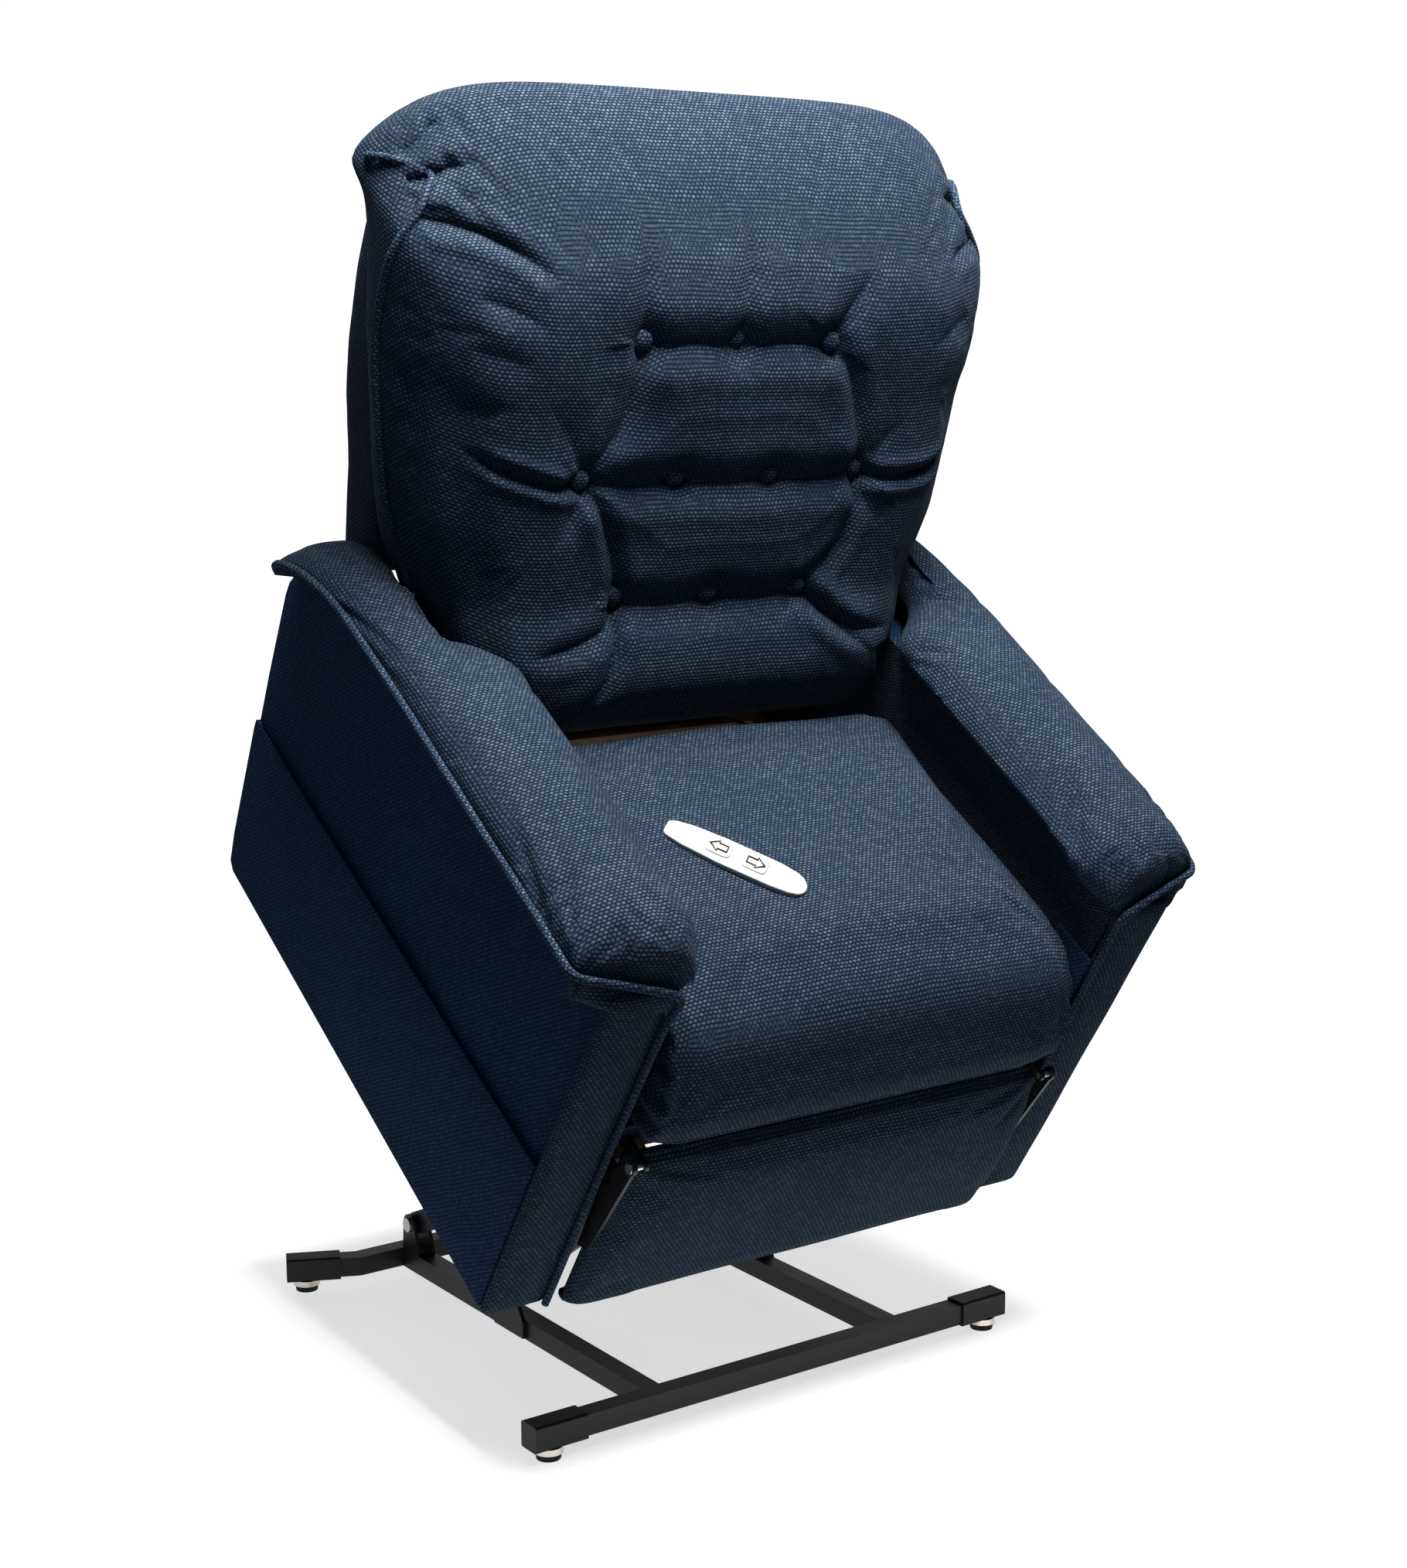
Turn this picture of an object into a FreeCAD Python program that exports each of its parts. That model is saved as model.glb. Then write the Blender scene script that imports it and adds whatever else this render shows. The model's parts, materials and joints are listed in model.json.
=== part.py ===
import FreeCAD, Part
import math
import os

# Lift recliner chair, drawn in millimetres, in the raised attitude that helps a sitter to stand.
# Frame: +Z up, +X the sitter's left, -Y the way the sitter faces. Origin on the floor under the
# middle of the whole chair. Everything carried by the lift is drawn in a seated frame (y back,
# z up, origin at the bottom front edge of the arms) and then tilted forward into place.

V = FreeCAD.Vector

# ---- driving dimensions ----
BASE_SHIFT_Y = -181.3          # row frame minus the frame whose y is 0 at the front feet
TILT_DEG = 32.0                # forward tilt of the raised seat
TILT_ORIGIN = (15.0, 184.0)    # where the seated frame's origin sits when raised: y, z

TUBE = 25.0                    # square steel tube of the floor frame
TUBE_WALL = 2.0
TUBE_Z = 30.5                  # centre height of the floor tubes
FRONT_TUBE_Y = -8.0
REAR_TUBE_Y = 580.0
RAIL_X = 177.5
FOOT_SPLAY_DEG = 25.0
REAR_BEND_X = 250.0
CAP_OUT = 31.0
CAP_LENGTH = 70.0
FOOT_X_FRONT = 324.0

LIFT_PIVOT = (550.0, 80.0)     # rear pivot of the lift arms on the floor frame: y, z
LINK_PIVOT = (290.0, 75.0)     # front pivot of the lower links on the floor frame
LIFT_HANG = (120.0, 43.7)      # lift arm pivot, seated frame
LINK_HANG = (60.0, 39.1)       # lower link pivot, seated frame
ARM_PIN_R = 6.0
LINK_PIN_R = 5.0
RUN_CLEAR = 0.05               # radial clearance of the running pins
OPEN_CLEAR = 4.5               # radial room at the pivots where a linkage loop is opened

ACT_PIVOT = (560.0, 70.0)      # actuator pivot on the floor frame
ACT_HANG = (160.0, 150.0)      # actuator push point, seated frame
ACT_STROKE = 100.0
ROD_R = 10.0
BORE_START = 116.0                 # bottom of the housing's bore, measured from the pivot

ARM_OUT = 395.0                # outer face of the arm side panels
ARM_IN = 312.0
ARM_IN_REAR = 342.0
ARM_TOP = 490.0
COVER_OUT = 388.5              # outer face of the hollow arm cover, under the side panel's cloth
POCKET_TOP = 230.0
ARM_REAR_EDGE = [(712, 14), (724, 22), (732, 60), (759, 284), (771, 405), (769, 425), (752, 458),
                 (730, 480), (700, ARM_TOP)]
PAD_IN = 268.0                 # inner edge of the arm pads beside the seat
PAD_TAPER_Y = (440.0, 520.0)   # where the pad's inner edge moves out to clear the back
PAD_OUT = 432.0
SEAT_HALF = 285.0
SEAT_TOP = 430.0
SEAT_DECK = 262.0
FOOT_PANEL_HALF = 290.0
ARM_FRONT_Y = 4.0              # rear face of the arm front panels, where the side cloth starts

RECLINE_PIVOT = (600.0, 400.0)     # back hinge, seated frame
RECLINE_STEPS = 24                 # leans, up to RECLINE_DEG, at which the cushion is cut clear of the pads
RECLINE_DEG = 36.0
FOOTREST_PIVOT = (-36.0, 243.0)    # leg rest hinge, seated frame
DRIVE_BACK = (600.0, 290.0)        # drive link pin on the back lever
CRANK_R = 48.0                     # leg rest crank
CRANK_DEG = -60.0

HANDSET_SIZE = (172.0, 50.0, 24.0)
HANDSET_CENTRE = (-103.0, 193.0)
HANDSET_TURN_DEG = 132.0           # heading of the lead end, from +X towards +Y
BUTTON_TRAVEL_GAP = 1.5

# hand-chosen points of the handset lead, seated frame: from the handset over the seat, down between
# seat and arm, then clipped along the top of the seat frame to the supply box
LEAD_R = 2.5
LEAD_POINTS = [(-172.0, 269.7, 437.5), (-205.0, 318.0, 435.0), (-262.0, 352.0, 436.5),
               (-299.0, 380.0, 424.0), (-299.0, 397.0, 368.0), (-289.0, 428.0, 318.0),
               (-258.0, 449.0, 284.0), (-202.0, 453.0, 267.0), (-138.0, 447.0, 266.0),
               (-74.0, 451.0, 266.0), (-8.0, 446.0, 266.0), (58.0, 450.0, 266.0),
               (122.0, 447.0, 266.0), (184.0, 453.0, 266.0), (236.0, 480.0, 266.0),
               (267.0, 530.0, 266.0), (263.0, 588.0, 266.0), (226.0, 624.0, 266.0),
               (166.0, 631.0, 266.0), (102.0, 627.0, 266.0), (38.0, 631.0, 266.0),
               (-26.0, 628.0, 266.5), (-84.0, 614.0, 268.0), (-130.0, 586.0, 238.0),
               (-130.0, 586.0, 200.0)]


# ---- drawing helpers ----
def box(x0, x1, y0, y1, z0, z1):
    return Part.makeBox(x1 - x0, y1 - y0, z1 - z0, V(x0, y0, z0))


def rod_x(x0, x1, y, z, r):
    return Part.makeCylinder(r, x1 - x0, V(x0, y, z), V(1, 0, 0))


def plate(points, x0, x1):
    """Flat plate drawn in the side view (y, z) and given thickness along x."""
    pts = [V(x0, y, z) for y, z in points]
    return Part.Face(Part.makePolygon(pts + [pts[0]])).extrude(V(x1 - x0, 0, 0))


def plan_column(points_xz, y0, y1):
    """Front-view outline (x, z), mirrored about x = 0 and extruded along y."""
    half = [p for p in points_xz if p[0] > 0]
    pts = [V(x, y0, z) for x, z in points_xz] + [V(-x, y0, z) for x, z in reversed(half)]
    return Part.Face(Part.makePolygon(pts + [pts[0]])).extrude(V(0, y1 - y0, 0))


def fuse(shapes):
    return shapes[0].multiFuse(shapes[1:]).removeSplitter() if len(shapes) > 1 else shapes[0]


def bar(p, q, width, x0, x1, holes):
    """Straight link with round ends between two side-view points; holes gives both hole radii."""
    dy, dz = q[0] - p[0], q[1] - p[1]
    n = math.hypot(dy, dz)
    oy, oz = -dz / n * width / 2, dy / n * width / 2
    body = plate([(p[0] + oy, p[1] + oz), (q[0] + oy, q[1] + oz),
                  (q[0] - oy, q[1] - oz), (p[0] - oy, p[1] - oz)], x0, x1)
    solid = fuse([body] + [rod_x(x0, x1, c[0], c[1], width / 2) for c in (p, q)])
    for c, r in zip((p, q), holes):
        if r:
            solid = solid.cut(rod_x(x0 - 1, x1 + 1, c[0], c[1], r))
    return solid


def mirrored(shape):
    return shape.mirror(V(0, 0, 0), V(1, 0, 0))


def both(shape):
    return Part.makeCompound([shape, mirrored(shape)])


def raised(shape):
    """Move a shape from the seated frame to its place in the raised chair."""
    out = shape.copy()
    out.rotate(V(0, 0, 0), V(1, 0, 0), TILT_DEG)
    out.translate(V(0, TILT_ORIGIN[0] + BASE_SHIFT_Y, TILT_ORIGIN[1]))
    return out


def floor(shape):
    """Move a shape from the front-feet frame to the row frame."""
    out = shape.copy()
    out.translate(V(0, BASE_SHIFT_Y, 0))
    return out


def raised_point(p):
    """Side-view point of the seated frame in the front-feet frame."""
    t = math.radians(TILT_DEG)
    return (p[0] * math.cos(t) - p[1] * math.sin(t) + TILT_ORIGIN[0],
            p[0] * math.sin(t) + p[1] * math.cos(t) + TILT_ORIGIN[1])


def round_edges(shape, radius, pick):
    edges = [e for e in shape.Edges if pick(e)]
    return shape.makeFillet(radius, edges) if edges else shape


def tube_between(p, q, outer, wall):
    """Square tube with two vertical walls between two points at one height: outer and inner bar."""
    d = V(*q).sub(V(*p))
    turn = math.degrees(math.atan2(d.y, d.x))

    def prism(w, extra):
        s = Part.makeBox(d.Length + 2 * extra, w, w, V(-extra, -w / 2, -w / 2))
        s.rotate(V(0, 0, 0), V(0, 0, 1), turn)
        s.translate(V(*p))
        return s
    return prism(outer, 0.0), prism(outer - 2 * wall, 1.0)


def piping(points, r):
    """Round welt along a smooth curve through side-by-side points."""
    curve = Part.BSplineCurve()
    curve.interpolate([V(*p) for p in points])
    spine = Part.Wire(curve.toShape())
    start = curve.value(curve.FirstParameter)
    tangent = curve.tangent(curve.FirstParameter)[0]
    ring = Part.Wire(Part.makeCircle(r, start, tangent))
    shell = spine.makePipeShell([ring], True, True)
    return Part.Solid(shell) if shell.ShapeType != "Solid" else shell


def bent_wire(points, r):
    """Round wire bent to straight runs through the points."""
    pts = [V(*p) for p in points]
    spine = Part.makePolygon(pts)
    ring = Part.Wire(Part.makeCircle(r, pts[0], pts[1].sub(pts[0])))
    return spine.makePipeShell([ring], True, False, 1)


# ---- floor frame ----
def front_cross_tube():
    outer, inner = tube_between((-348, FRONT_TUBE_Y, TUBE_Z), (348, FRONT_TUBE_Y, TUBE_Z),
                                TUBE, TUBE_WALL)
    return outer.cut(inner)


def rear_foot_axis(side):
    """Start and end of one splayed rear tube end."""
    a = math.radians(FOOT_SPLAY_DEG)
    p = (side * REAR_BEND_X, REAR_TUBE_Y, TUBE_Z)
    return p, (p[0] + side * 92 * math.cos(a), p[1] + 92 * math.sin(a), TUBE_Z)


def rear_cross_tube():
    pairs = [tube_between((-REAR_BEND_X, REAR_TUBE_Y, TUBE_Z), (REAR_BEND_X, REAR_TUBE_Y, TUBE_Z),
                          TUBE, TUBE_WALL)]
    knuckles = []
    for side in (-1, 1):
        p, q = rear_foot_axis(side)
        pairs.append(tube_between(p, q, TUBE, TUBE_WALL))
        for radius, tall in ((TUBE / 2, TUBE), (TUBE / 2 - TUBE_WALL, TUBE - 2 * TUBE_WALL)):
            knuckles.append(Part.makeCylinder(radius, tall, V(p[0], p[1], TUBE_Z - tall / 2)))
    outer = fuse([o for o, _ in pairs] + knuckles[0::2])
    return outer.cut(fuse([i for _, i in pairs] + knuckles[1::2]))


def side_rails():
    y0, y1 = FRONT_TUBE_Y + TUBE / 2, REAR_TUBE_Y - TUBE / 2
    z0, z1 = TUBE_Z - TUBE / 2, TUBE_Z + TUBE / 2
    rail = box(RAIL_X - TUBE / 2, RAIL_X + TUBE / 2, y0, y1, z0, z1)
    w = TUBE_WALL
    rail = rail.cut(box(RAIL_X - TUBE / 2 + w, RAIL_X + TUBE / 2 - w, y0 - 1, y1 + 1, z0 + w, z1 - w))
    gusset = Part.Face(Part.makePolygon([V(RAIL_X + 12.5, y0, z0 + 4), V(RAIL_X + 42.5, y0, z0 + 4),
                                         V(RAIL_X + 12.5, y0 + 30, z0 + 4),
                                         V(RAIL_X + 12.5, y0, z0 + 4)])).extrude(V(0, 0, 4))
    return both(fuse([rail, gusset]))


def foot_places():
    """Cap end point and heading of the four feet, and the glide position under each cap."""
    places = []
    for side in (-1, 1):
        turn = 0 if side > 0 else 180
        places.append(((side * 350, FRONT_TUBE_Y), turn, (side * FOOT_X_FRONT, FRONT_TUBE_Y)))
        (px, py, _), (qx, qy, _) = rear_foot_axis(side)
        turn = math.degrees(math.atan2(qy - py, qx - px))
        t = math.radians(turn)
        places.append(((qx + 2 * math.cos(t), qy + 2 * math.sin(t)), turn,
                       (qx - 24 * math.cos(t), qy - 24 * math.sin(t))))
    return places


def tube_end_caps():
    caps = []
    for (x, y), turn, _ in foot_places():
        cap = Part.makeBox(CAP_LENGTH, CAP_OUT, CAP_OUT, V(-CAP_LENGTH, -CAP_OUT / 2, -CAP_OUT / 2))
        cap = round_edges(cap, 3.0, lambda e: abs(e.tangentAt(e.FirstParameter).x) > 0.99)
        cap = cap.cut(Part.makeBox(CAP_LENGTH - 2, TUBE, TUBE, V(-CAP_LENGTH, -TUBE / 2, -TUBE / 2)))
        cap.rotate(V(0, 0, 0), V(0, 0, 1), turn)
        cap.translate(V(x, y, TUBE_Z))
        caps.append(cap)
    return Part.makeCompound(caps)


def glides(r0, r1, z0, z1):
    """Four round glide parts, one under each foot, with a conical flank from r0 to r1."""
    out = []
    for _, _, (x, y) in foot_places():
        out.append(Part.makeCone(r0, r1, z1 - z0, V(x, y, z0)))
    return Part.makeCompound(out)


def glide_pads():
    return glides(14.0, 15.5, 0.0, 8.0)


def glide_rings():
    return glides(17.5, 16.5, 8.0, TUBE_Z - CAP_OUT / 2)


def rear_pivot_brackets():
    y, z = LIFT_PIVOT
    top = TUBE_Z + TUBE / 2
    ears = []
    for x0, x1 in ((165, 169), (186, 190)):
        ear = fuse([plate([(y - 26, top), (y + 17, top), (y + 14, z), (y - 14, z)], x0, x1),
                    rod_x(x0, x1, y, z, 14)])
        ears.append(ear.cut(rod_x(x0 - 1, x1 + 1, y, z, ARM_PIN_R)))
    ears.append(box(169, 186, y - 26, y + 17, top, top + 3))
    return both(fuse(ears))


def front_pivot_brackets():
    y, z = LINK_PIVOT
    low = TUBE_Z - TUBE / 2
    ear = fuse([plate([(y - 34, low + 2), (y + 34, low + 2), (y + 34, low + 22), (y + 12, z), (y - 12, z),
                       (y - 34, low + 22)], 190, 195), rod_x(190, 195, y, z, 13)])
    return both(ear.cut(rod_x(189, 196, y, z, LINK_PIN_R)))


def actuator_bracket():
    y, z = ACT_PIVOT
    top = TUBE_Z + TUBE / 2
    ears = []
    for x0, x1 in ((-21, -17), (17, 21)):
        ear = fuse([plate([(REAR_TUBE_Y - 12, top), (REAR_TUBE_Y + 12, top), (REAR_TUBE_Y + 4, z + 6),
                           (y, z + 10), (y - 8, z - 6)], x0, x1), rod_x(x0, x1, y, z, 11)])
        ears.append(ear.cut(rod_x(x0 - 1, x1 + 1, y, z, LINK_PIN_R)))
    return Part.makeCompound(ears)


def floor_pivot_pins():
    arm = fuse([rod_x(165, 190, *LIFT_PIVOT, ARM_PIN_R), rod_x(190, 193.5, *LIFT_PIVOT, 9.5),
                rod_x(162.5, 165, *LIFT_PIVOT, 9.5)])
    link = fuse([rod_x(190, 203.5, *LINK_PIVOT, LINK_PIN_R), rod_x(203.5, 206.5, *LINK_PIVOT, 8.5)])
    act = fuse([rod_x(-21, 21, *ACT_PIVOT, LINK_PIN_R), rod_x(21, 24, *ACT_PIVOT, 8),
                rod_x(-24, -21, *ACT_PIVOT, 8)])
    return Part.makeCompound([arm, mirrored(arm), link, mirrored(link), act])


# ---- lift linkage ----
def lift_arm(side):
    q = raised_point(LIFT_HANG)
    holes = (ARM_PIN_R + RUN_CLEAR, ARM_PIN_R + RUN_CLEAR)
    arm = bar(LIFT_PIVOT, q, 30, 173.5, 181.5, holes)
    for c in (LIFT_PIVOT, q):
        boss = rod_x(169.5, 185.5, c[0], c[1], 11).cut(rod_x(160, 200, c[0], c[1], holes[0]))
        arm = arm.fuse(boss)
    return arm if side > 0 else mirrored(arm)


def lift_cross_tube():
    q = raised_point(LIFT_HANG)
    k = 0.66
    y, z = [LIFT_PIVOT[i] + (q[i] - LIFT_PIVOT[i]) * k for i in (0, 1)]
    return rod_x(-173.5, 173.5, y, z, 12.5).cut(rod_x(-174, 174, y, z, 10.5))


def lower_link(side):
    link = bar(LINK_PIVOT, raised_point(LINK_HANG), 24, 196.5, 202.5,
               (LINK_PIN_R + RUN_CLEAR, LINK_PIN_R + OPEN_CLEAR))
    return link if side > 0 else mirrored(link)


# ---- lift actuator, drawn with its push point in the raised chair ----
def along_actuator(shape):
    """Turn a shape drawn with the pivot at 0 and the push direction along +Y into place."""
    q = raised_point(ACT_HANG)
    turn = math.degrees(math.atan2(q[1] - ACT_PIVOT[1], q[0] - ACT_PIVOT[0]))
    out = shape.copy()
    out.rotate(V(0, 0, 0), V(1, 0, 0), turn)
    out.translate(V(0, *ACT_PIVOT))
    return out


def actuator_length():
    q = raised_point(ACT_HANG)
    return math.hypot(q[0] - ACT_PIVOT[0], q[1] - ACT_PIVOT[1])


def actuator_housing():
    """Gearbox with the pivot eye and the outer tube, bored right through for the sliding rod."""
    eye = fuse([rod_x(-16, 16, 0, 0, 10), box(-16, 16, 0, 26, -10, 10)])
    gearbox = round_edges(box(-24, 24, 24, 112, -22, 26), 6, lambda e: e.Length > 45)
    tube = Part.makeCylinder(17, actuator_length() - ACT_STROKE - 170, V(0, 108, 0), V(0, 1, 0))
    body = fuse([eye, gearbox, tube])
    bore = Part.makeCylinder(ROD_R + RUN_CLEAR, actuator_length() + 10, V(0, BORE_START, 0), V(0, 1, 0))
    return along_actuator(body.cut(rod_x(-20, 20, 0, 0, LINK_PIN_R + RUN_CLEAR)).cut(bore))


def actuator_motor():
    motor = fuse([rod_x(24, 104, 78, 4, 21), rod_x(104, 109, 78, 4, 12)])
    return along_actuator(motor)


def actuator_rod():
    n = actuator_length()
    start = BORE_START + ACT_STROKE + 4
    rod = Part.makeCylinder(ROD_R, n - 36 - start, V(0, start, 0), V(0, 1, 0))
    fork = fuse([box(-14, 14, n - 38, n - 16, -10, 10)] +
                [plate([(n - 18, -10), (n + 2, -10), (n + 10, -4), (n + 10, 4), (n + 2, 10), (n - 18, 10)],
                       x0, x1) for x0, x1 in ((-14, -8), (8, 14))])
    fork = fork.cut(rod_x(-20, 20, n, 0, LINK_PIN_R))
    return along_actuator(fuse([rod, fork]))


# ---- carriage: the frame the seat, arms, back and leg rest hang on (seated frame) ----
def front_cross_rail():
    rail = box(-ARM_IN, ARM_IN, 145, 175, 170, 200)
    hang = []
    y, z = LIFT_HANG
    for side in (-1, 1):
        ear = fuse([plate([(y - 15, z), (y + 15, z), (178, 170), (142, 170)], 158, 163),
                    rod_x(158, 163, y, z, 15)]).cut(rod_x(150, 170, y, z, ARM_PIN_R))
        hang.append(ear if side > 0 else mirrored(ear))
    lug = fuse([plate([(148, 170), (172, 170), (170, 160), (150, 160)], -5, 5)])
    return fuse([rail] + hang + [lug])


def rear_cross_rail():
    return box(-ARM_IN, ARM_IN, 600, 630, 170, 200)


def mechanism_plates():
    y, z = LINK_HANG
    outline = [(y - 15, z), (y - 8, z - 13), (y + 8, z - 13), (y + 60, 40), (420, 95), (560, 120), (632, 150),
               (632, 170), (30, 170), (30, 90)]
    ear = fuse([plate(outline, 212, 217), rod_x(212, 217, y, z, 15)])
    return both(ear.cut(rod_x(210, 220, y, z, LINK_PIN_R)))


def carriage_pins():
    arm = fuse([rod_x(158, 185.5, *LIFT_HANG, ARM_PIN_R), rod_x(185.5, 188.5, *LIFT_HANG, 9.5)])
    link = fuse([rod_x(195.5, 217, *LINK_HANG, LINK_PIN_R), rod_x(217, 220, *LINK_HANG, 8.5)])
    back = fuse([rod_x(283, 304, *RECLINE_PIVOT, ARM_PIN_R), rod_x(304.3, 307.3, *RECLINE_PIVOT, 9.5),
                 rod_x(304, 304.3, *RECLINE_PIVOT, ARM_PIN_R)])
    foot = fuse([rod_x(283, 304.3, *FOOTREST_PIVOT, 4.0), rod_x(304.3, 306.3, *FOOTREST_PIVOT, 6.0)])
    pins = [arm, link, back, foot]
    return Part.makeCompound(pins + [mirrored(p) for p in pins])


def seat_frame():
    rails = [box(x0, x1, 12, 640, 200, SEAT_DECK) for x0, x1 in ((262, 283), (-283, -262))]
    cross = [box(-262, 262, y0, y1, 214, SEAT_DECK) for y0, y1 in ((12, 34), (438, 460), (618, 640))]
    return fuse(rails + cross)


def seat_springs():
    wires = []
    for x in (-190, -114, -38, 38, 114, 190):
        points = [(x + (22 if i % 2 else -22) * (0 if i in (0, 16) else 1), 34 + i * 25.25, 252)
                  for i in range(17)]
        wires.append(bent_wire(points, 1.9))
    return Part.makeCompound(wires)


def seat_side_brackets():
    (by, bz), (fy, fz) = RECLINE_PIVOT, FOOTREST_PIVOT
    strap = plate([(fy, fz - 7), (20, fz - 12), (60, 214), (640, 214), (640, 258), (by + 34, 300),
                   (by + 16, bz), (by - 16, bz), (by - 40, 300), (by - 90, 258), (60, 258), (20, 249),
                   (fy, fz + 6)], 283, 288)
    ear = fuse([strap, rod_x(283, 288, by, bz, 16), rod_x(283, 288, fy, fz, 6.5)])
    ear = ear.cut(rod_x(280, 290, by, bz, ARM_PIN_R)).cut(rod_x(280, 290, fy, fz, 4.0))
    return both(ear)


def seat_cushion():
    t = SEAT_TOP
    outline = [(430, SEAT_DECK), (430, t - 90), (437, t - 62), (437, t - 16), (424, t + 6), (395, t), (70, t),
               (20, t - 14), (-24, t - 50), (-46, t - 92), (-50, t - 130), (-40, 256), (-20, 251), (6, 254),
               (10, SEAT_DECK)]
    body = plate(outline, -SEAT_HALF, SEAT_HALF)
    front_view = [(SEAT_HALF, 240), (SEAT_HALF, t - 12), (SEAT_HALF - 12, t), (0, t + 8)]
    plan = [V(-SEAT_HALF, 440, 240), V(-SEAT_HALF, -30, 240), V(-SEAT_HALF + 22, -52, 240),
            V(SEAT_HALF - 22, -52, 240), V(SEAT_HALF, -30, 240), V(SEAT_HALF, 440, 240)]
    column = Part.Face(Part.makePolygon(plan + [plan[0]])).extrude(V(0, 0, 220))
    return body.common(plan_column(front_view, -60, 440)).common(column)


# ---- arms ----
def arm_outline():
    """Side view of an arm below its pad; the rear edge slopes back towards the top."""
    return [(ARM_FRONT_Y, 0)] + ARM_REAR_EDGE + [(ARM_FRONT_Y, ARM_TOP)]


def arm_frame(side):
    """Board box inside one arm."""
    top = ARM_TOP - 4
    inner = box(318, 330, 12, 575, 12, top)
    inner_rear = box(348, 360, 575, 700, 24, 440)
    outer = box(365, 377, 12, 716, 24, 430)
    posts = [box(330, 365, 12, 40, 12, top), box(330, 365, 545, 575, 24, top),
             box(360, 365, 672, 700, 24, 430)]
    rails = [box(330, 365, 40, 545, 12, 32), box(318, 377, 12, 575, top - 18, top)]
    frame = fuse([inner, inner_rear, outer] + posts + rails)
    return frame if side > 0 else mirrored(frame)


def arm_cover(side):
    """Hollow box of covered board, open above and below."""
    wall = 5.0
    front, rear = ARM_FRONT_Y, 800
    outer = [(ARM_IN, front), (ARM_IN, 580), (ARM_IN_REAR, 600), (ARM_IN_REAR, rear), (COVER_OUT, rear),
             (COVER_OUT, front)]
    inner = [(ARM_IN + wall, front + wall), (ARM_IN + wall, 580), (ARM_IN_REAR + wall, 600),
             (ARM_IN_REAR + wall, rear), (COVER_OUT - wall, rear), (COVER_OUT - wall, front + wall)]
    rear_inside = [(y - wall, z) for y, z in ARM_REAR_EDGE]
    below = [(front, -20), (rear_inside[0][0], -20)]
    above = [(rear_inside[-1][0], 540), (front, 540)]
    hollow_side = below + rear_inside + above

    def column(points):
        pts = [V(x, y, -20) for x, y in points]
        return Part.Face(Part.makePolygon(pts + [pts[0]])).extrude(V(0, 0, 560))

    hollow = column(inner).common(plate(hollow_side, 300, 400))
    cover = column(outer).common(plate(arm_outline(), 300, 400)).cut(hollow)
    return cover if side > 0 else mirrored(cover)


def arm_side_panel(side):
    panel = plate(arm_outline(), COVER_OUT, COVER_OUT + 1)
    return panel if side > 0 else mirrored(panel)


def pocket_panels():
    inside = COVER_OUT + 1
    y0 = ARM_FRONT_Y + 0.1
    low = plate([(y0, 0.5), (711, 14.5), (723, 22.5), (731, 60), (751.5, POCKET_TOP), (y0, POCKET_TOP)],
                inside, ARM_OUT + 2)
    room = plate([(14, 12), (706, 27), (718, 62), (739, POCKET_TOP + 5), (14, POCKET_TOP + 5)],
                 inside, ARM_OUT - 0.3)
    return both(low.cut(room))


def arm_front_panel(side):
    panel = box(ARM_IN, ARM_OUT + 1, -6, ARM_FRONT_Y, -6, 482)
    panel = round_edges(panel, 4, lambda e: abs(e.CenterOfMass.y + 6) < 0.1 and e.Length > 50)
    return panel if side > 0 else mirrored(panel)


def pad_side_view():
    """Crown line of the arm pad in the side view: front nose, long level top, rolled rear end."""
    return [(-12, 484), (-16, 500), (-10, 524), (8, 543), (60, 552), (300, 558), (560, 560), (640, 552),
            (690, 528), (724, 506), (744, 485), (750, 471), (747, 466)]


def pad_plan(grow, z0, z1):
    """Plan of the left arm pad as a column, its inner edge moved inward by grow."""
    a, b = PAD_TAPER_Y
    plan = [V(PAD_IN - grow, -14, z0), V(PAD_IN - grow, a, z0), V(ARM_IN_REAR - grow, b, z0),
            V(ARM_IN_REAR - grow, 760, z0), V(PAD_OUT, 760, z0), V(PAD_OUT, 14, z0)]
    return Part.Face(Part.makePolygon(plan + [plan[0]])).extrude(V(0, 0, z1 - z0))


def arm_pad(side):
    low = [(741, 471.5), (731, 482), (701, ARM_TOP + 1), (640, ARM_TOP), (4, ARM_TOP), (-8, 484)]
    pad = plate(pad_side_view() + low, 260, PAD_OUT).common(pad_plan(0, 400, 600))
    shoulder = plate([(-50, 500), (750, 500), (750, 640), (-50, 640)], 0, 60)
    shoulder.rotate(V(0, 0, 535), V(0, 1, 0), -45)
    shoulder.translate(V(PAD_OUT, 0, 0))
    pad = pad.cut(shoulder)
    return pad if side > 0 else mirrored(pad)


def arm_welt(side):
    r = 4.5
    x = PAD_OUT + 0.2
    points = [(x, 744, 464), (x, 728, 485), (x, 690, 504), (x, 646, 518), (x, 578, 528), (x, 456, 528),
              (x, 337, 523), (x, 224, 518), (x, 117, 514), (x, 20, 507)]
    run = piping([(p[0] + r, p[1], p[2]) for p in points], r)
    front = Part.makeCylinder(r, 490, V(ARM_IN + 5, -6 - r, -8), V(0, 0, 1))
    welt = Part.makeCompound([run, front])
    return welt if side > 0 else mirrored(welt)


def rear_valance():
    """Fabric-covered board closing the back of the carriage between the arms."""
    return box(-ARM_IN_REAR, ARM_IN_REAR, 703, 713, 32, 330)


# ---- power supply and handset ----
def power_supply_box():
    """Closed box on the front face of the rear rail, with a recess for the mains inlet."""
    body = round_edges(box(-200, -70, 565, 600, 140, 200), 4, lambda e: e.Length > 40)
    return body.cut(box(-196, -180, 560, 578, 156, 184))


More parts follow.
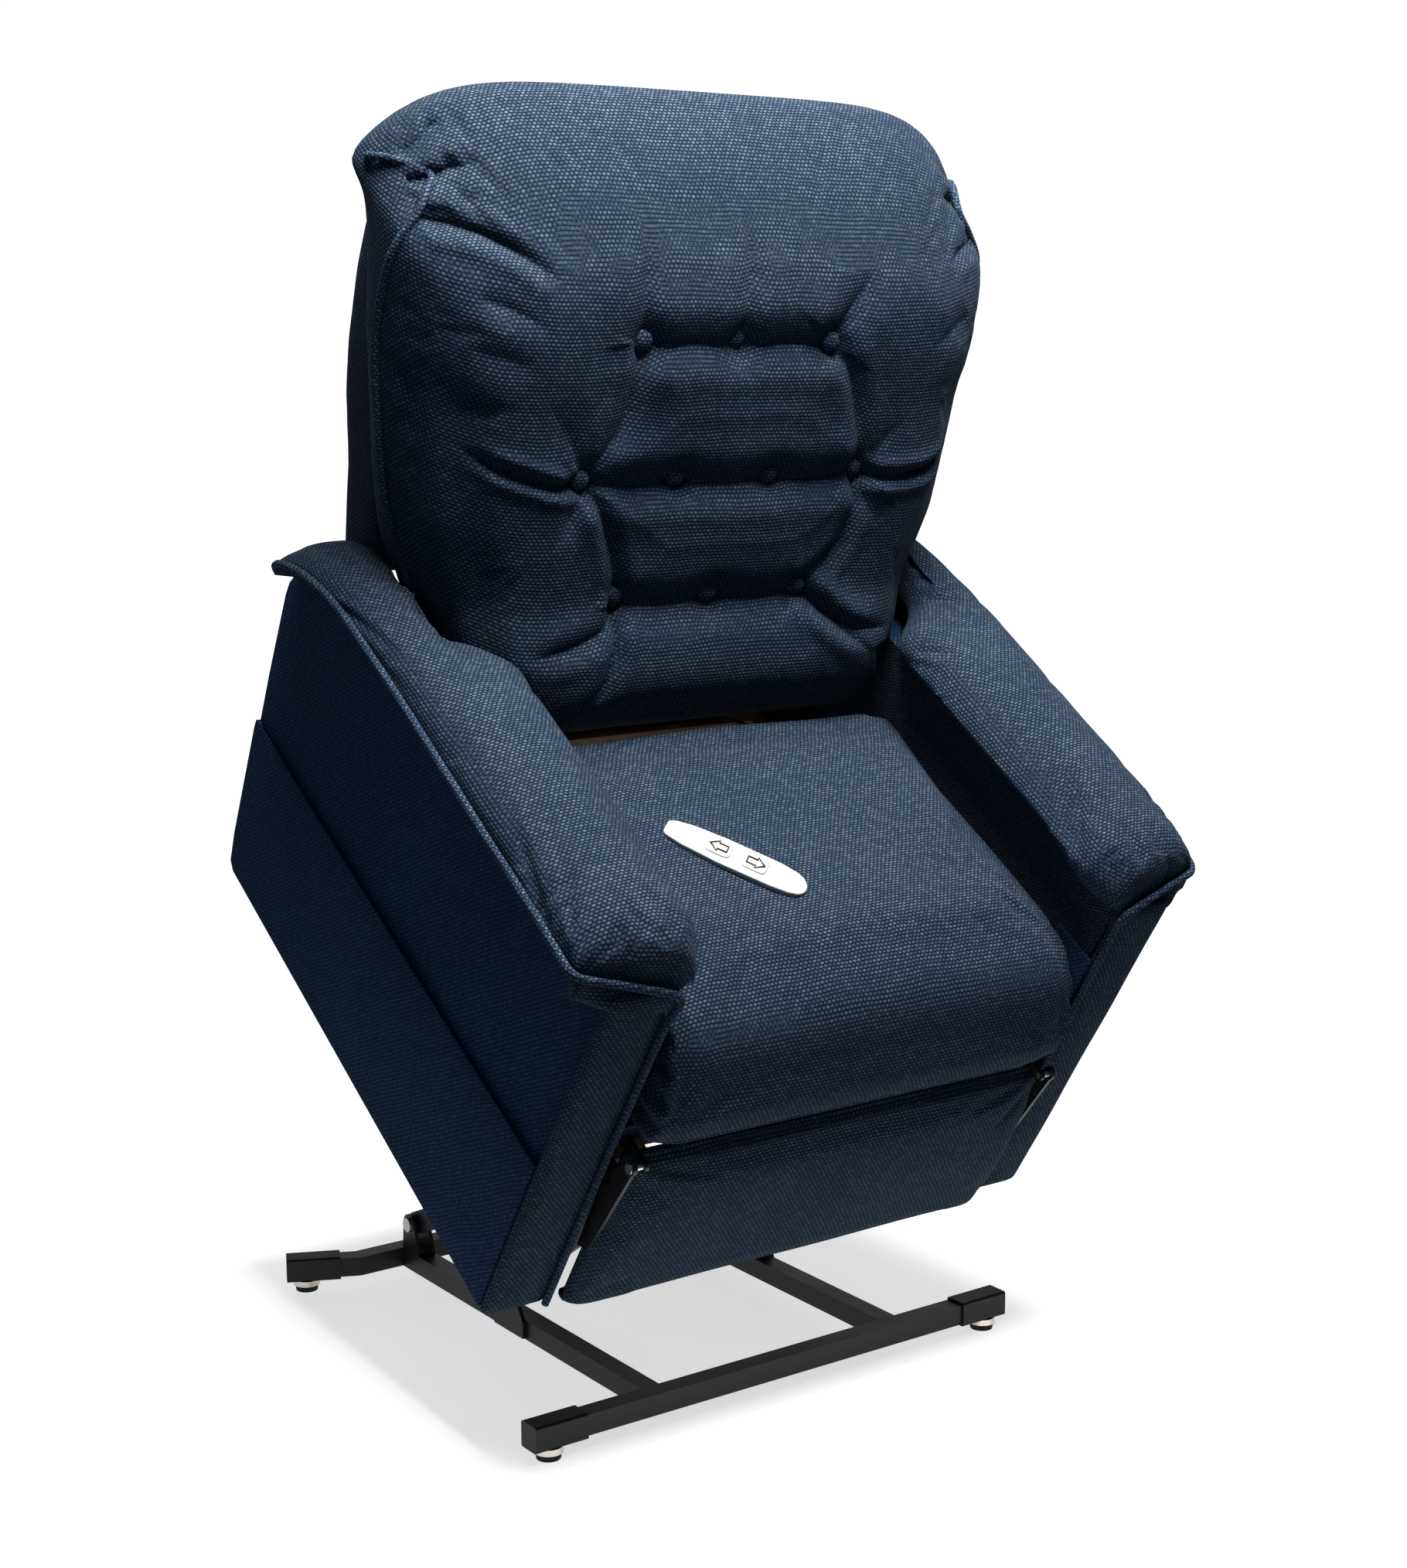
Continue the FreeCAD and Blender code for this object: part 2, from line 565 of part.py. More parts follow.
def power_inlet():
    shell = box(-196, -182, 560, 578, 156, 184).cut(box(-193, -185, 559, 573, 160, 180))
    blades = [box(-190.5, -187.5, 562, 573, z, z + 3) for z in (163, 168.5, 174)]
    return fuse([shell] + blades)


def place_handset(shape):
    """Lay a handset shape, drawn with its lead end towards +X, on the seat."""
    out = shape.copy()
    out.rotate(V(0, 0, 0), V(0, 0, 1), HANDSET_TURN_DEG)
    out.translate(V(HANDSET_CENTRE[0], HANDSET_CENTRE[1], SEAT_TOP))
    return out


def handset_outline(grow, z0, z1):
    n, w, _ = HANDSET_SIZE
    body = Part.makeBox(n + 2 * grow, w + 2 * grow, z1 - z0, V(-n / 2 - grow, -w / 2 - grow, z0))
    return round_edges(body, 16 + grow, lambda e: abs(e.tangentAt(e.FirstParameter).z) > 0.99)


def button_pocket(x, half_x, half_y, z0, z1):
    pocket = Part.makeBox(2 * half_x, 2 * half_y, z1 - z0, V(x - half_x, -half_y, z0))
    return round_edges(pocket, 5, lambda e: abs(e.tangentAt(e.FirstParameter).z) > 0.99)


BUTTON_X = (-22.0, 22.0)           # down key, up key; the up key is nearer the lead end


def handset_case():
    return place_handset(handset_outline(0, 0.3, 15))


def handset_top():
    top = handset_outline(-1.0, 15, HANDSET_SIZE[2])
    top = round_edges(top, 4, lambda e: abs(e.CenterOfMass.z - HANDSET_SIZE[2]) < 0.01)
    for x in BUTTON_X:
        top = top.cut(button_pocket(x, 15.5, 14.5, 17, 30))
    return place_handset(top)


def handset_key(x):
    key = button_pocket(x, 15.1, 14.1, 17 + BUTTON_TRAVEL_GAP + 0.2, HANDSET_SIZE[2] + 1.6)
    return place_handset(key)


def lead_strain_relief():
    n = HANDSET_SIZE[0] / 2
    rings = [Part.makeCone(6.0 - 0.45 * i, 5.6 - 0.45 * i, 3.0, V(n + 0.05 + 3.2 * i, 0, 7.5), V(1, 0, 0))
             for i in range(5)]
    core = Part.makeCylinder(4.0, 16, V(n + 0.05, 0, 7.5), V(1, 0, 0))
    relief = fuse([core] + rings).cut(Part.makeCylinder(LEAD_R, 14, V(n + 4, 0, 7.5), V(1, 0, 0)))
    return place_handset(relief)


def cord(points, r, name):
    """Round cord: straight runs joined by tangent arcs."""
    pts = [V(*p) for p in points]
    edges, last, radii = [], pts[0], []
    for a, b, c in zip(pts, pts[1:], pts[2:]):
        u, w = b.sub(a).normalize(), c.sub(b).normalize()
        turn = u.getAngle(w)
        run = min(b.sub(a).Length, c.sub(b).Length)
        radius = 0.45 * run / math.tan(turn / 2)
        cut = radius * math.tan(turn / 2)
        p, q = b.sub(u * cut), b.add(w * cut)
        inward = w.sub(u).normalize()
        mid = b.add(inward * (radius / math.cos(turn / 2) - radius))
        edges += [Part.LineSegment(last, p).toShape(), Part.Arc(p, mid, q).toShape()]
        last = q
        radii.append(radius)
    edges.append(Part.LineSegment(last, pts[-1]).toShape())
    spine = Part.Wire(edges)
    ring = Part.Wire(Part.makeCircle(r, pts[0], pts[1].sub(pts[0])))
    tube = spine.makePipeShell([ring], True, True)
    expected = math.pi * r * r * spine.Length
    print(name, "length", round(spine.Length, 1), "radii", [round(v, 1) for v in radii],
          "volume ratio", round(tube.Volume / expected, 4))
    return tube


def handset_lead():
    return cord(LEAD_POINTS, LEAD_R, "handset_lead")


# ---- back, hinged on the carriage (seated frame, upright rest) ----
BACK_FRONT = [(450, 402), (440, 424), (442, 450), (462, 500), (480, 540), (502, 564), (524, 640),
              (552, 711), (578, 780), (600, 850), (640, 920), (690, 985), (745, 1035), (800, 1060),
              (840, 1056), (862, 1030), (862, 990), (840, 960)]
BACK_REAR = [(775, 800), (738, 700), (700, 600), (655, 520), (612, 470), (584, 436), (568, 402)]


def plan_bevel(x, y):
    """Wedge that takes the front outer corner off the leaning back."""
    corners = [V(x, y - 80, -500), V(x + 140, y - 80, -500), V(x + 140, y + 60, -500), V(x, y - 80, -500)]
    wedge = Part.Face(Part.makePolygon(corners)).extrude(V(0, 0, 2000))
    wedge.rotate(V(0, 470, 460), V(1, 0, 0), -BACK_LEAN_DEG)
    return wedge


def back_cushion():
    side = plate(BACK_FRONT + BACK_REAR, -420, 420)
    front_view = [(294, 395), (296, 440), (306, 470), (328, 500), (336, 560), (346, 600), (370, 660),
                  (394, 760), (404, 860), (404, 950), (388, 1010), (344, 1046), (256, 1062), (0, 1068)]
    body = side.common(plan_column(front_view, 400, 900))
    beside_pad = pad_plan(2.0, ARM_TOP - 1, 565)
    cuts = [plan_bevel(300, 470), box(ARM_IN - 1, PAD_OUT, 380, 602, 380, ARM_TOP)]
    for step in range(RECLINE_STEPS + 1):
        swept = beside_pad.copy()
        swept.rotate(V(0, *RECLINE_PIVOT), V(1, 0, 0), RECLINE_DEG * step / RECLINE_STEPS)
        cuts.append(swept)
    for shape in cuts:
        body = body.cut(shape).cut(mirrored(shape))
    return body


def back_frame():
    stiles = []
    for x0, x1 in ((279, 299), (-299, -279)):
        stiles.append(plate([(590, 432), (640, 432), (700, 540), (788, 760), (856, 920), (834, 930),
                             (780, 800), (743, 700), (705, 598), (660, 516), (617, 466)], x0, x1))
    rungs = [plate(outline, -279, 279) for outline in
             ([(617, 466), (655, 466), (672, 500), (652, 500)],
              [(834, 930), (856, 920), (846, 896), (824, 906)])]
    return fuse(stiles + rungs)


def back_springs():
    wires = []
    for x in (-180, -90, 0, 90, 180):
        a, b = (664, 501.5), (835.5, 899.5)
        n = 16
        points = []
        for i in range(n + 1):
            k = i / n
            points.append((x + (20 if i % 2 else -20) * (0 if i in (0, n) else 1),
                           a[0] + (b[0] - a[0]) * k, a[1] + (b[1] - a[1]) * k))
        wires.append(bent_wire(points, 1.8))
    return Part.makeCompound(wires)


BUTTON_ROWS = [(856, (-132, 0, 132)), (711, (-198, -66, 66, 198)), (578, (-131, 0, 131))]
BACK_LEAN_DEG = 19.0


def back_surface(z):
    """Place and outward direction (y, z) of the back's front face at one height."""
    for (y0, z0), (y1, z1) in zip(BACK_FRONT, BACK_FRONT[1:]):
        if z0 <= z < z1:
            n = math.hypot(y1 - y0, z1 - z0)
            return y0 + (y1 - y0) * (z - z0) / (z1 - z0), -(z1 - z0) / n, (y1 - y0) / n


def back_buttons():
    buttons = []
    for z, xs in BUTTON_ROWS:
        y, out_y, out_z = back_surface(z)
        out = V(0, out_y, out_z)
        for x in xs:
            base = V(x, y, z).add(out * 1.3)
            buttons.append(fuse([Part.makeCylinder(11, 5, base, out),
                                 Part.makeCone(11, 6, 3, base.add(out * 5), out)]))
    return Part.makeCompound(buttons)


def outer_back_shell():
    side = [(690, 487), (779, 466), (808, 542), (863, 719), (904, 870), (914, 925), (910, 960), (892, 978),
            (866, 980), (843, 955), (778, 800), (740, 700), (703, 600)]
    solid = plate(side, -400, 400).common(plan_column(
        [(322, 460), (336, 580), (352, 660), (358, 720), (360, 800), (360, 900), (352, 940), (322, 962),
         (0, 980)], 600, 1000))
    hollow_side = [(600, 440), (773, 440), (801, 543), (856, 720), (897, 871), (907, 925), (903, 955),
                   (860, 960), (600, 700)]
    hollow = plate(hollow_side, -400, 400).common(plan_column(
        [(315, 450), (329, 580), (345, 660), (351, 720), (353, 800), (353, 900), (345, 932), (316, 954),
         (0, 972)], 500, 1000))
    return solid.cut(hollow)


def back_hinge_levers():
    (y, z), (dy, dz) = RECLINE_PIVOT, DRIVE_BACK
    lever = fuse([plate([(dy - 13, dz), (dy + 13, dz), (y + 17, z), (y + 30, 440), (700, 540), (712, 570),
                         (686, 556), (y + 3, 440), (y - 17, z)], 299, 304),
                  rod_x(299, 304, y, z, 17), rod_x(299, 304, dy, dz, 13)])
    lever = lever.cut(rod_x(290, 310, y, z, ARM_PIN_R + RUN_CLEAR))
    stud = rod_x(290, 299, dy, dz, 5)
    return both(fuse([lever, stud]))


# ---- leg rest, hinged under the front of the seat ----
def crank_tip():
    """Side-view point where the drive links push on the leg rest cranks."""
    t = math.radians(CRANK_DEG)
    return (FOOTREST_PIVOT[0] + CRANK_R * math.cos(t), FOOTREST_PIVOT[1] + CRANK_R * math.sin(t))


def footrest_board():
    return box(-283, 283, -12, 0, 4, 225)


def leg_rest_cranks():
    """Steel cranks that carry the leg rest board from the seat brackets' front pins."""
    (fy, fz), (ty, tz) = FOOTREST_PIVOT, crank_tip()
    crank = fuse([plate([(fy - 6, fz - 3), (-26, 100), (-8, 90), (ty + 8, tz - 6), (ty + 4, tz + 8),
                         (fy + 6, fz + 4)], 299, 304),
                  rod_x(299, 304, fy, fz, 8), rod_x(299, 304, ty, tz, 9)])
    crank = crank.cut(rod_x(290, 310, fy, fz, 4.0 + RUN_CLEAR)).cut(rod_x(290, 310, ty, tz, 5.0))
    return both(fuse([crank, box(283, 299, -12, -9, 96, 150)]))


def footrest_pad():
    outline = [(-12, -2), (-30, -2), (-40, 10), (-48, 60), (-50, 120), (-46, 180), (-37, 225), (-37, 238),
               (-30, 240), (-8, 240), (-1, 236), (-1, 225.5), (-12, 225)]
    pad = plate(outline, -FOOT_PANEL_HALF, FOOT_PANEL_HALF)
    for side in (-1, 1):
        x0, x1 = sorted((side * 268, side * 320))
        pad = pad.cut(box(x0, x1, -60, 20, 224, 260))
    return pad


def drive_link(side):
    link = bar(DRIVE_BACK, crank_tip(), 20, 291, 297, (5 + RUN_CLEAR, 5.0))
    return link if side > 0 else mirrored(link)


NODES = [
    ("front_cross_tube", floor, front_cross_tube), ("rear_cross_tube", floor, rear_cross_tube),
    ("side_rails", floor, side_rails), ("tube_end_caps", floor, tube_end_caps),
    ("glide_pads", floor, glide_pads), ("glide_rings", floor, glide_rings),
    ("rear_pivot_brackets", floor, rear_pivot_brackets),
    ("front_pivot_brackets", floor, front_pivot_brackets),
    ("actuator_bracket", floor, actuator_bracket), ("floor_pivot_pins", floor, floor_pivot_pins),
    ("lift_arm_left", floor, lambda: lift_arm(1)), ("lift_arm_right", floor, lambda: lift_arm(-1)),
    ("lift_cross_tube", floor, lift_cross_tube),
    ("lower_link_left", floor, lambda: lower_link(1)), ("lower_link_right", floor, lambda: lower_link(-1)),
    ("actuator_housing", floor, actuator_housing), ("actuator_motor", floor, actuator_motor),
    ("actuator_rod", floor, actuator_rod),
    ("front_cross_rail", raised, front_cross_rail), ("rear_cross_rail", raised, rear_cross_rail),
    ("mechanism_plates", raised, mechanism_plates), ("carriage_pins", raised, carriage_pins),
    ("seat_frame", raised, seat_frame), ("seat_springs", raised, seat_springs),
    ("seat_side_brackets", raised, seat_side_brackets), ("seat_cushion", raised, seat_cushion),
    ("arm_frame_left", raised, lambda: arm_frame(1)), ("arm_frame_right", raised, lambda: arm_frame(-1)),
    ("arm_cover_left", raised, lambda: arm_cover(1)), ("arm_cover_right", raised, lambda: arm_cover(-1)),
    ("arm_side_panel_left", raised, lambda: arm_side_panel(1)),
    ("arm_side_panel_right", raised, lambda: arm_side_panel(-1)),
    ("pocket_panels", raised, pocket_panels),
    ("arm_front_panel_left", raised, lambda: arm_front_panel(1)),
    ("arm_front_panel_right", raised, lambda: arm_front_panel(-1)),
    ("arm_pad_left", raised, lambda: arm_pad(1)), ("arm_pad_right", raised, lambda: arm_pad(-1)),
    ("arm_welt_left", raised, lambda: arm_welt(1)), ("arm_welt_right", raised, lambda: arm_welt(-1)),
    ("rear_valance", raised, rear_valance),
    ("power_supply_box", raised, power_supply_box), ("power_inlet", raised, power_inlet),
    ("handset_case", raised, handset_case), ("handset_top", raised, handset_top),
    ("up_button", raised, lambda: handset_key(BUTTON_X[1])),
    ("down_button", raised, lambda: handset_key(BUTTON_X[0])),
    ("lead_strain_relief", raised, lead_strain_relief), ("handset_lead", raised, handset_lead),
    ("back_frame", raised, back_frame), ("back_springs", raised, back_springs),
    ("back_cushion", raised, back_cushion), ("back_buttons", raised, back_buttons),
    ("outer_back_shell", raised, outer_back_shell), ("back_hinge_levers", raised, back_hinge_levers),
    ("footrest_board", raised, footrest_board), ("leg_rest_cranks", raised, leg_rest_cranks),
    ("footrest_pad", raised, footrest_pad),
    ("drive_link_left", raised, lambda: drive_link(1)), ("drive_link_right", raised, lambda: drive_link(-1)),
]

os.makedirs("parts", exist_ok=True)
low, high = V(1e9, 1e9, 1e9), V(-1e9, -1e9, -1e9)
for node, place, make in NODES:
    shape = place(make())
    b = shape.optimalBoundingBox(False, False)
    low = V(min(low.x, b.XMin), min(low.y, b.YMin), min(low.z, b.ZMin))
    high = V(max(high.x, b.XMax), max(high.y, b.YMax), max(high.z, b.ZMax))
    if not shape.isValid():
        print("not valid:", node)
    shape.exportStep("parts/" + node + ".step")
print(len(NODES), "nodes", "low", low, "high", high)
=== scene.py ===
import json
import math
import bmesh
import bpy
import numpy as np
from mathutils import Matrix, Vector
from mathutils.bvhtree import BVHTree


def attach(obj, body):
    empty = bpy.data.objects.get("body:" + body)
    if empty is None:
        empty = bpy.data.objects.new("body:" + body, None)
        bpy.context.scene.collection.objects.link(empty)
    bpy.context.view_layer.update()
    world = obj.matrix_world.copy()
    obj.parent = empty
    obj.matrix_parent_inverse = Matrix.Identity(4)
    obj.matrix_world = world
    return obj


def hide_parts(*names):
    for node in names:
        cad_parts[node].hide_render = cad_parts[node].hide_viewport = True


# Looks of the lift recliner chair. Everything the lift carries is drawn in the seated frame
# (y back, z up, origin at the bottom front of the arms) and placed by one tilt matrix.

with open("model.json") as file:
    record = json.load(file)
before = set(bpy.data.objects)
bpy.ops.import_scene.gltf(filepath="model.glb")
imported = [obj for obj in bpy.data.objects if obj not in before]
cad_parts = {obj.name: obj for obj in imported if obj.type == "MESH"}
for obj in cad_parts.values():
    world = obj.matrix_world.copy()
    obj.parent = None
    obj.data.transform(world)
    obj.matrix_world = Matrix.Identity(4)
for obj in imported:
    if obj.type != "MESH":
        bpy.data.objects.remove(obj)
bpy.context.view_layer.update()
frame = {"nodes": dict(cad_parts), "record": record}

TILT = math.radians(32.0)
SHIFT_Y = -0.1813
SEATED = Matrix.Translation((0, 0.015 + SHIFT_Y, 0.184)) @ Matrix.Rotation(TILT, 4, "X")
LEAN = math.radians(19.4)
LEAN_OUT = np.array([0.0, -math.cos(LEAN), math.sin(LEAN)])
SCENE = bpy.context.scene


# ---------------------------------------------------------------- camera and light
CAMERA_PLACE = (-1.727, -2.259 + SHIFT_Y, 1.236)
CAMERA_DOWN = math.radians(10.05)
CAMERA_TURN = math.radians(-35.69)


def make_camera():
    data = bpy.data.cameras.new("camera")
    data.lens = 57.75
    data.sensor_width = 36.0
    camera = bpy.data.objects.new("camera", data)
    camera.location = CAMERA_PLACE
    camera.rotation_euler = (math.radians(90) - CAMERA_DOWN, 0, CAMERA_TURN)
    SCENE.collection.objects.link(camera)
    SCENE.camera = camera


def make_area_light(name, place, target, size, power, colour=(1, 1, 1)):
    data = bpy.data.lights.new(name, "AREA")
    data.shape = "RECTANGLE"
    data.size, data.size_y = size
    data.energy = power
    data.color = colour
    light = bpy.data.objects.new(name, data)
    light.location = place
    light.rotation_euler = (Vector(target) - Vector(place)).to_track_quat("-Z", "Y").to_euler()
    SCENE.collection.objects.link(light)


def make_studio():
    """Large soft top light towards the front, a weak cool fill, and a backdrop brightest behind the chair."""
    make_area_light("top", (-0.08, -0.80, 3.25), (0.0, -0.05, 0.7), (1.4, 1.4), 320, (1.0, 0.975, 0.94))
    make_area_light("left", (-2.30, -1.60, 1.60), (0.0, -0.1, 0.9), (1.0, 1.4), 9, (0.55, 0.75, 1.0))
    world = bpy.data.worlds.new("studio")
    SCENE.world = world
    world.use_nodes = True
    s = Shader(tree=world.node_tree)
    background = s.tree.nodes["Background"]
    direction = s.node("ShaderNodeTexCoord").outputs["Generated"]
    behind = s.node("ShaderNodeVectorMath", operation="DOT_PRODUCT")
    s.link(direction, behind.inputs[0])
    behind.inputs[1].default_value = (0.583, 0.812, 0.0)
    axes = s.node("ShaderNodeSeparateXYZ")
    s.link(direction, axes.inputs[0])
    backdrop = s.spread(behind.outputs["Value"], 0.22, 1.12, 0.30, 0.72)
    overhead = s.spread(axes.outputs[2], 1.0, 0.30, 0.18, 0.42)
    s.link(s.mix(backdrop, (0.45, 0.68, 1.0, 1), (0.985, 0.99, 1.0, 1)), background.inputs[0])
    s.link(s.math("MULTIPLY", backdrop, overhead), background.inputs[1])
    SCENE.view_settings.view_transform = "Standard"
    SCENE.view_settings.gamma = 0.80


# ---------------------------------------------------------------- material helpers
class Shader:
    """Small helper around one node tree."""

    def __init__(self, name=None, tree=None):
        if tree:
            self.tree = tree
        else:
            self.material = bpy.data.materials.new(name)
            self.material.use_nodes = True
            self.tree = self.material.node_tree
            self.bsdf = self.tree.nodes["Principled BSDF"]

    def node(self, kind, **values):
        made = self.tree.nodes.new(kind)
        for key, value in values.items():
            setattr(made, key, value)
        return made

    def link(self, source, target):
        self.tree.links.new(source, target)

    def feed(self, value, target):
        """Link a socket, or set a plain number or colour on the target's own socket."""
        if isinstance(value, (int, float, tuple)):
            target.default_value = value
        else:
            self.link(value, target)

    def surface(self, **values):
        """Feed inputs of the surface shader; an underscore stands for a space in the input's name."""
        for key, value in values.items():
            self.feed(value, self.bsdf.inputs[key.replace("_", " ")])

    def math(self, operation, *values):
        made = self.node("ShaderNodeMath", operation=operation)
        for value, target in zip(values, made.inputs):
            self.feed(value, target)
        return made.outputs[0]

    def mix(self, factor, a, b):
        made = self.node("ShaderNodeMix", data_type="RGBA")
        for i, value in ((0, factor), (6, a), (7, b)):
            self.feed(value, made.inputs[i])
        return made.outputs[2]

    def noise(self, vector, scale, detail=3.0, rough=0.5):
        made = self.node("ShaderNodeTexNoise")
        made.inputs["Scale"].default_value = scale
        made.inputs["Detail"].default_value = detail
        made.inputs["Roughness"].default_value = rough
        self.link(vector, made.inputs["Vector"])
        return made.outputs[0]

    def spread(self, value, low, high, start=0.0, end=1.0, kind="LINEAR"):
        """Map start to end onto low to high, held beyond both ends."""
        made = self.node("ShaderNodeMapRange", interpolation_type=kind)
        for target, number in zip(made.inputs, (value, start, end, low, high)):
            self.feed(number, target)
        return made.outputs[0]

    def stretch(self, vector, scale):
        made = self.node("ShaderNodeMapping")
        made.inputs["Scale"].default_value = scale
        self.link(vector, made.inputs["Vector"])
        return made.outputs[0]

    def place(self):
        return self.node("ShaderNodeTexCoord").outputs["Object"]

    def bump(self, height, strength, distance, below=None):
        made = self.node("ShaderNodeBump")
        made.inputs["Strength"].default_value = strength
        made.inputs["Distance"].default_value = distance
        self.link(height, made.inputs["Height"])
        if below is not None:
            self.link(below, made.inputs["Normal"])
        self.link(made.outputs[0], self.bsdf.inputs["Normal"])
        return made.outputs[0]


YARN_LONG = 0.0058
YARN_HIGH = 0.0038


def make_weave_group():
    """Staggered pebble weave on a flat pair of coordinates: outputs the yarn height and a tone per yarn."""
    s = Shader(tree=bpy.data.node_groups.new("pebble_weave", "ShaderNodeTree"))
    for name, way in (("U", "INPUT"), ("V", "INPUT"), ("Height", "OUTPUT"), ("Tone", "OUTPUT")):
        s.tree.interface.new_socket(name, in_out=way, socket_type="NodeSocketFloat")
    inside = s.node("NodeGroupInput").outputs
    outside = s.node("NodeGroupOutput").inputs
    v = s.math("MULTIPLY", inside[1], 1 / YARN_HIGH)
    row = s.math("FLOOR", v)
    u = s.math("ADD", s.math("MULTIPLY", inside[0], 1 / YARN_LONG), s.math("MULTIPLY", row, 0.5))
    column = s.math("FLOOR", u)
    across = s.math("SINE", s.math("MULTIPLY", s.math("FRACT", u), math.pi))
    along = s.math("SINE", s.math("MULTIPLY", s.math("FRACT", v), math.pi))
    height = s.math("POWER", s.math("MULTIPLY", across, along), 0.6)
    cell = s.node("ShaderNodeCombineXYZ")
    s.link(column, cell.inputs[0])
    s.link(row, cell.inputs[1])
    white = s.node("ShaderNodeTexWhiteNoise", noise_dimensions="2D")
    s.link(cell.outputs[0], white.inputs["Vector"])
    s.link(height, outside[0])
    s.link(white.outputs[0], outside[1])
    return s.tree


def make_fabric(name, weave, shade=(1.0, 1.0, 1.0)):
    """Navy chenille weave seen the same way on every side of a piece."""
    s = Shader(name)
    place = s.place()
    warp = s.node("ShaderNodeVectorMath", operation="MULTIPLY_ADD")
    wobble = s.node("ShaderNodeTexNoise")
    wobble.inputs["Scale"].default_value = 14.0
    s.link(place, wobble.inputs["Vector"])
    s.link(wobble.outputs[1], warp.inputs[0])
    warp.inputs[1].default_value = (0.006, 0.006, 0.006)
    s.link(place, warp.inputs[2])
    axes = s.node("ShaderNodeSeparateXYZ")
    s.link(warp.outputs[0], axes.inputs[0])
    facing = s.node("ShaderNodeSeparateXYZ")
    s.link(s.node("ShaderNodeTexCoord").outputs["Normal"], facing.inputs[0])
    weights = [s.math("POWER", s.math("ABSOLUTE", facing.outputs[i]), 6.0) for i in range(3)]
    total = s.math("ADD", s.math("ADD", weights[0], weights[1]), weights[2])
    sums = [None, None]
    for i, (a, b) in enumerate(((1, 2), (0, 2), (0, 1))):
        group = s.node("ShaderNodeGroup")
        group.node_tree = weave
        s.link(axes.outputs[a], group.inputs[0])
        s.link(axes.outputs[b], group.inputs[1])
        share = s.math("DIVIDE", weights[i], total)
        for k in (0, 1):
            part = s.math("MULTIPLY", group.outputs[k], share)
            sums[k] = part if sums[k] is None else s.math("ADD", sums[k], part)
    height, tone = sums
    nap = s.spread(s.noise(place, 9.0, 4.0), 0.7, 1.3)
    # The colour darkens towards the low parts of the weave: painted shade in the gaps between the yarns, with
    # a random tone per yarn and a random nap tone on top.
    light = s.math("MULTIPLY", s.math("MULTIPLY", s.math("POWER", height, 2.2), nap),
                   s.spread(s.math("POWER", tone, 2.0), 0.62, 1.30))
    # shade scales both colours; a shade darker and bluer than one, as for the side cloth, paints shade into a
    # copy of the same chenille.
    dark = tuple(c * tint for c, tint in zip((0.0022, 0.0100, 0.0300), shade)) + (1,)
    mid = tuple(c * tint for c, tint in zip((0.077, 0.098, 0.106), shade)) + (1,)
    s.surface(Base_Color=s.mix(light, dark, mid), Roughness=0.85, Specular_IOR_Level=0.08,
              Sheen_Weight=0.05 * shade[1], Sheen_Roughness=0.45, Sheen_Tint=(0.55, 0.70, 0.95, 1))
    fuzz = s.noise(place, 1400.0, 2.0)
    s.bump(s.math("ADD", height, s.math("MULTIPLY", fuzz, 0.35)), 0.75, 0.0009)
    return s.material


def make_paint():
    """Black powder-coated steel: fine orange peel, light scuffs along it."""
    s = Shader("black_powder_coat")
    place = s.place()
    peel = s.noise(place, 900.0, 2.0)
    scuff = s.spread(s.noise(place, 38.0, 6.0, 0.7), 0.0, 1.0)
    worn = s.math("POWER", scuff, 3.0)
    s.surface(Base_Color=s.mix(worn, (0.006, 0.006, 0.007, 1), (0.035, 0.035, 0.038, 1)),
              Roughness=s.spread(scuff, 0.30, 0.52))
    s.bump(peel, 0.25, 0.0004)
    return s.material


def make_plastic(name, colour, rough, grain=700.0, depth=0.0003):
    """Moulded plastic with a spark-eroded grain and slight mottling."""
    s = Shader(name)
    place = s.place()
    fine = s.noise(place, grain, 3.0, 0.6)
    cloud = s.noise(place, 24.0, 3.0)
    light = tuple(min(1.0, c * 1.15 + 0.004) for c in colour) + (1,)
    s.surface(Base_Color=s.mix(cloud, tuple(c * 0.88 for c in colour) + (1,), light),
              Roughness=s.spread(fine, rough - 0.07, rough + 0.10))
    s.bump(fine, 0.3, depth)
    return s.material


def make_metal(name, colour, rough):
    """Plated or ground steel with fine drawn lines and a little tarnish."""
    s = Shader(name)
    place = s.place()
    lines = s.noise(s.stretch(place, (3.0, 90.0, 90.0)), 12.0, 5.0, 0.65)
    tarnish = s.noise(place, 60.0, 4.0)
    s.surface(Base_Color=s.mix(tarnish, tuple(c * 0.8 for c in colour) + (1,), colour + (1,)),
              Roughness=s.spread(lines, rough - 0.06, rough + 0.12), Metallic=1.0)
    s.bump(lines, 0.15, 0.0002)
    return s.material


def make_plywood():
    s = Shader("plywood")
    place = s.place()
    grain = s.noise(s.stretch(place, (30.0, 2.2, 30.0)), 3.0, 6.0, 0.62)
    ply = s.math("SINE", s.math("MULTIPLY", s.noise(place, 5.0, 2.0), 60.0))
    tone = s.math("ADD", s.math("MULTIPLY", grain, 0.8), s.math("MULTIPLY", ply, 0.07))
    s.surface(Base_Color=s.mix(tone, (0.24, 0.14, 0.065, 1), (0.52, 0.37, 0.21, 1)),
              Roughness=s.spread(grain, 0.55, 0.75))
    s.bump(grain, 0.3, 0.0004)
    return s.material


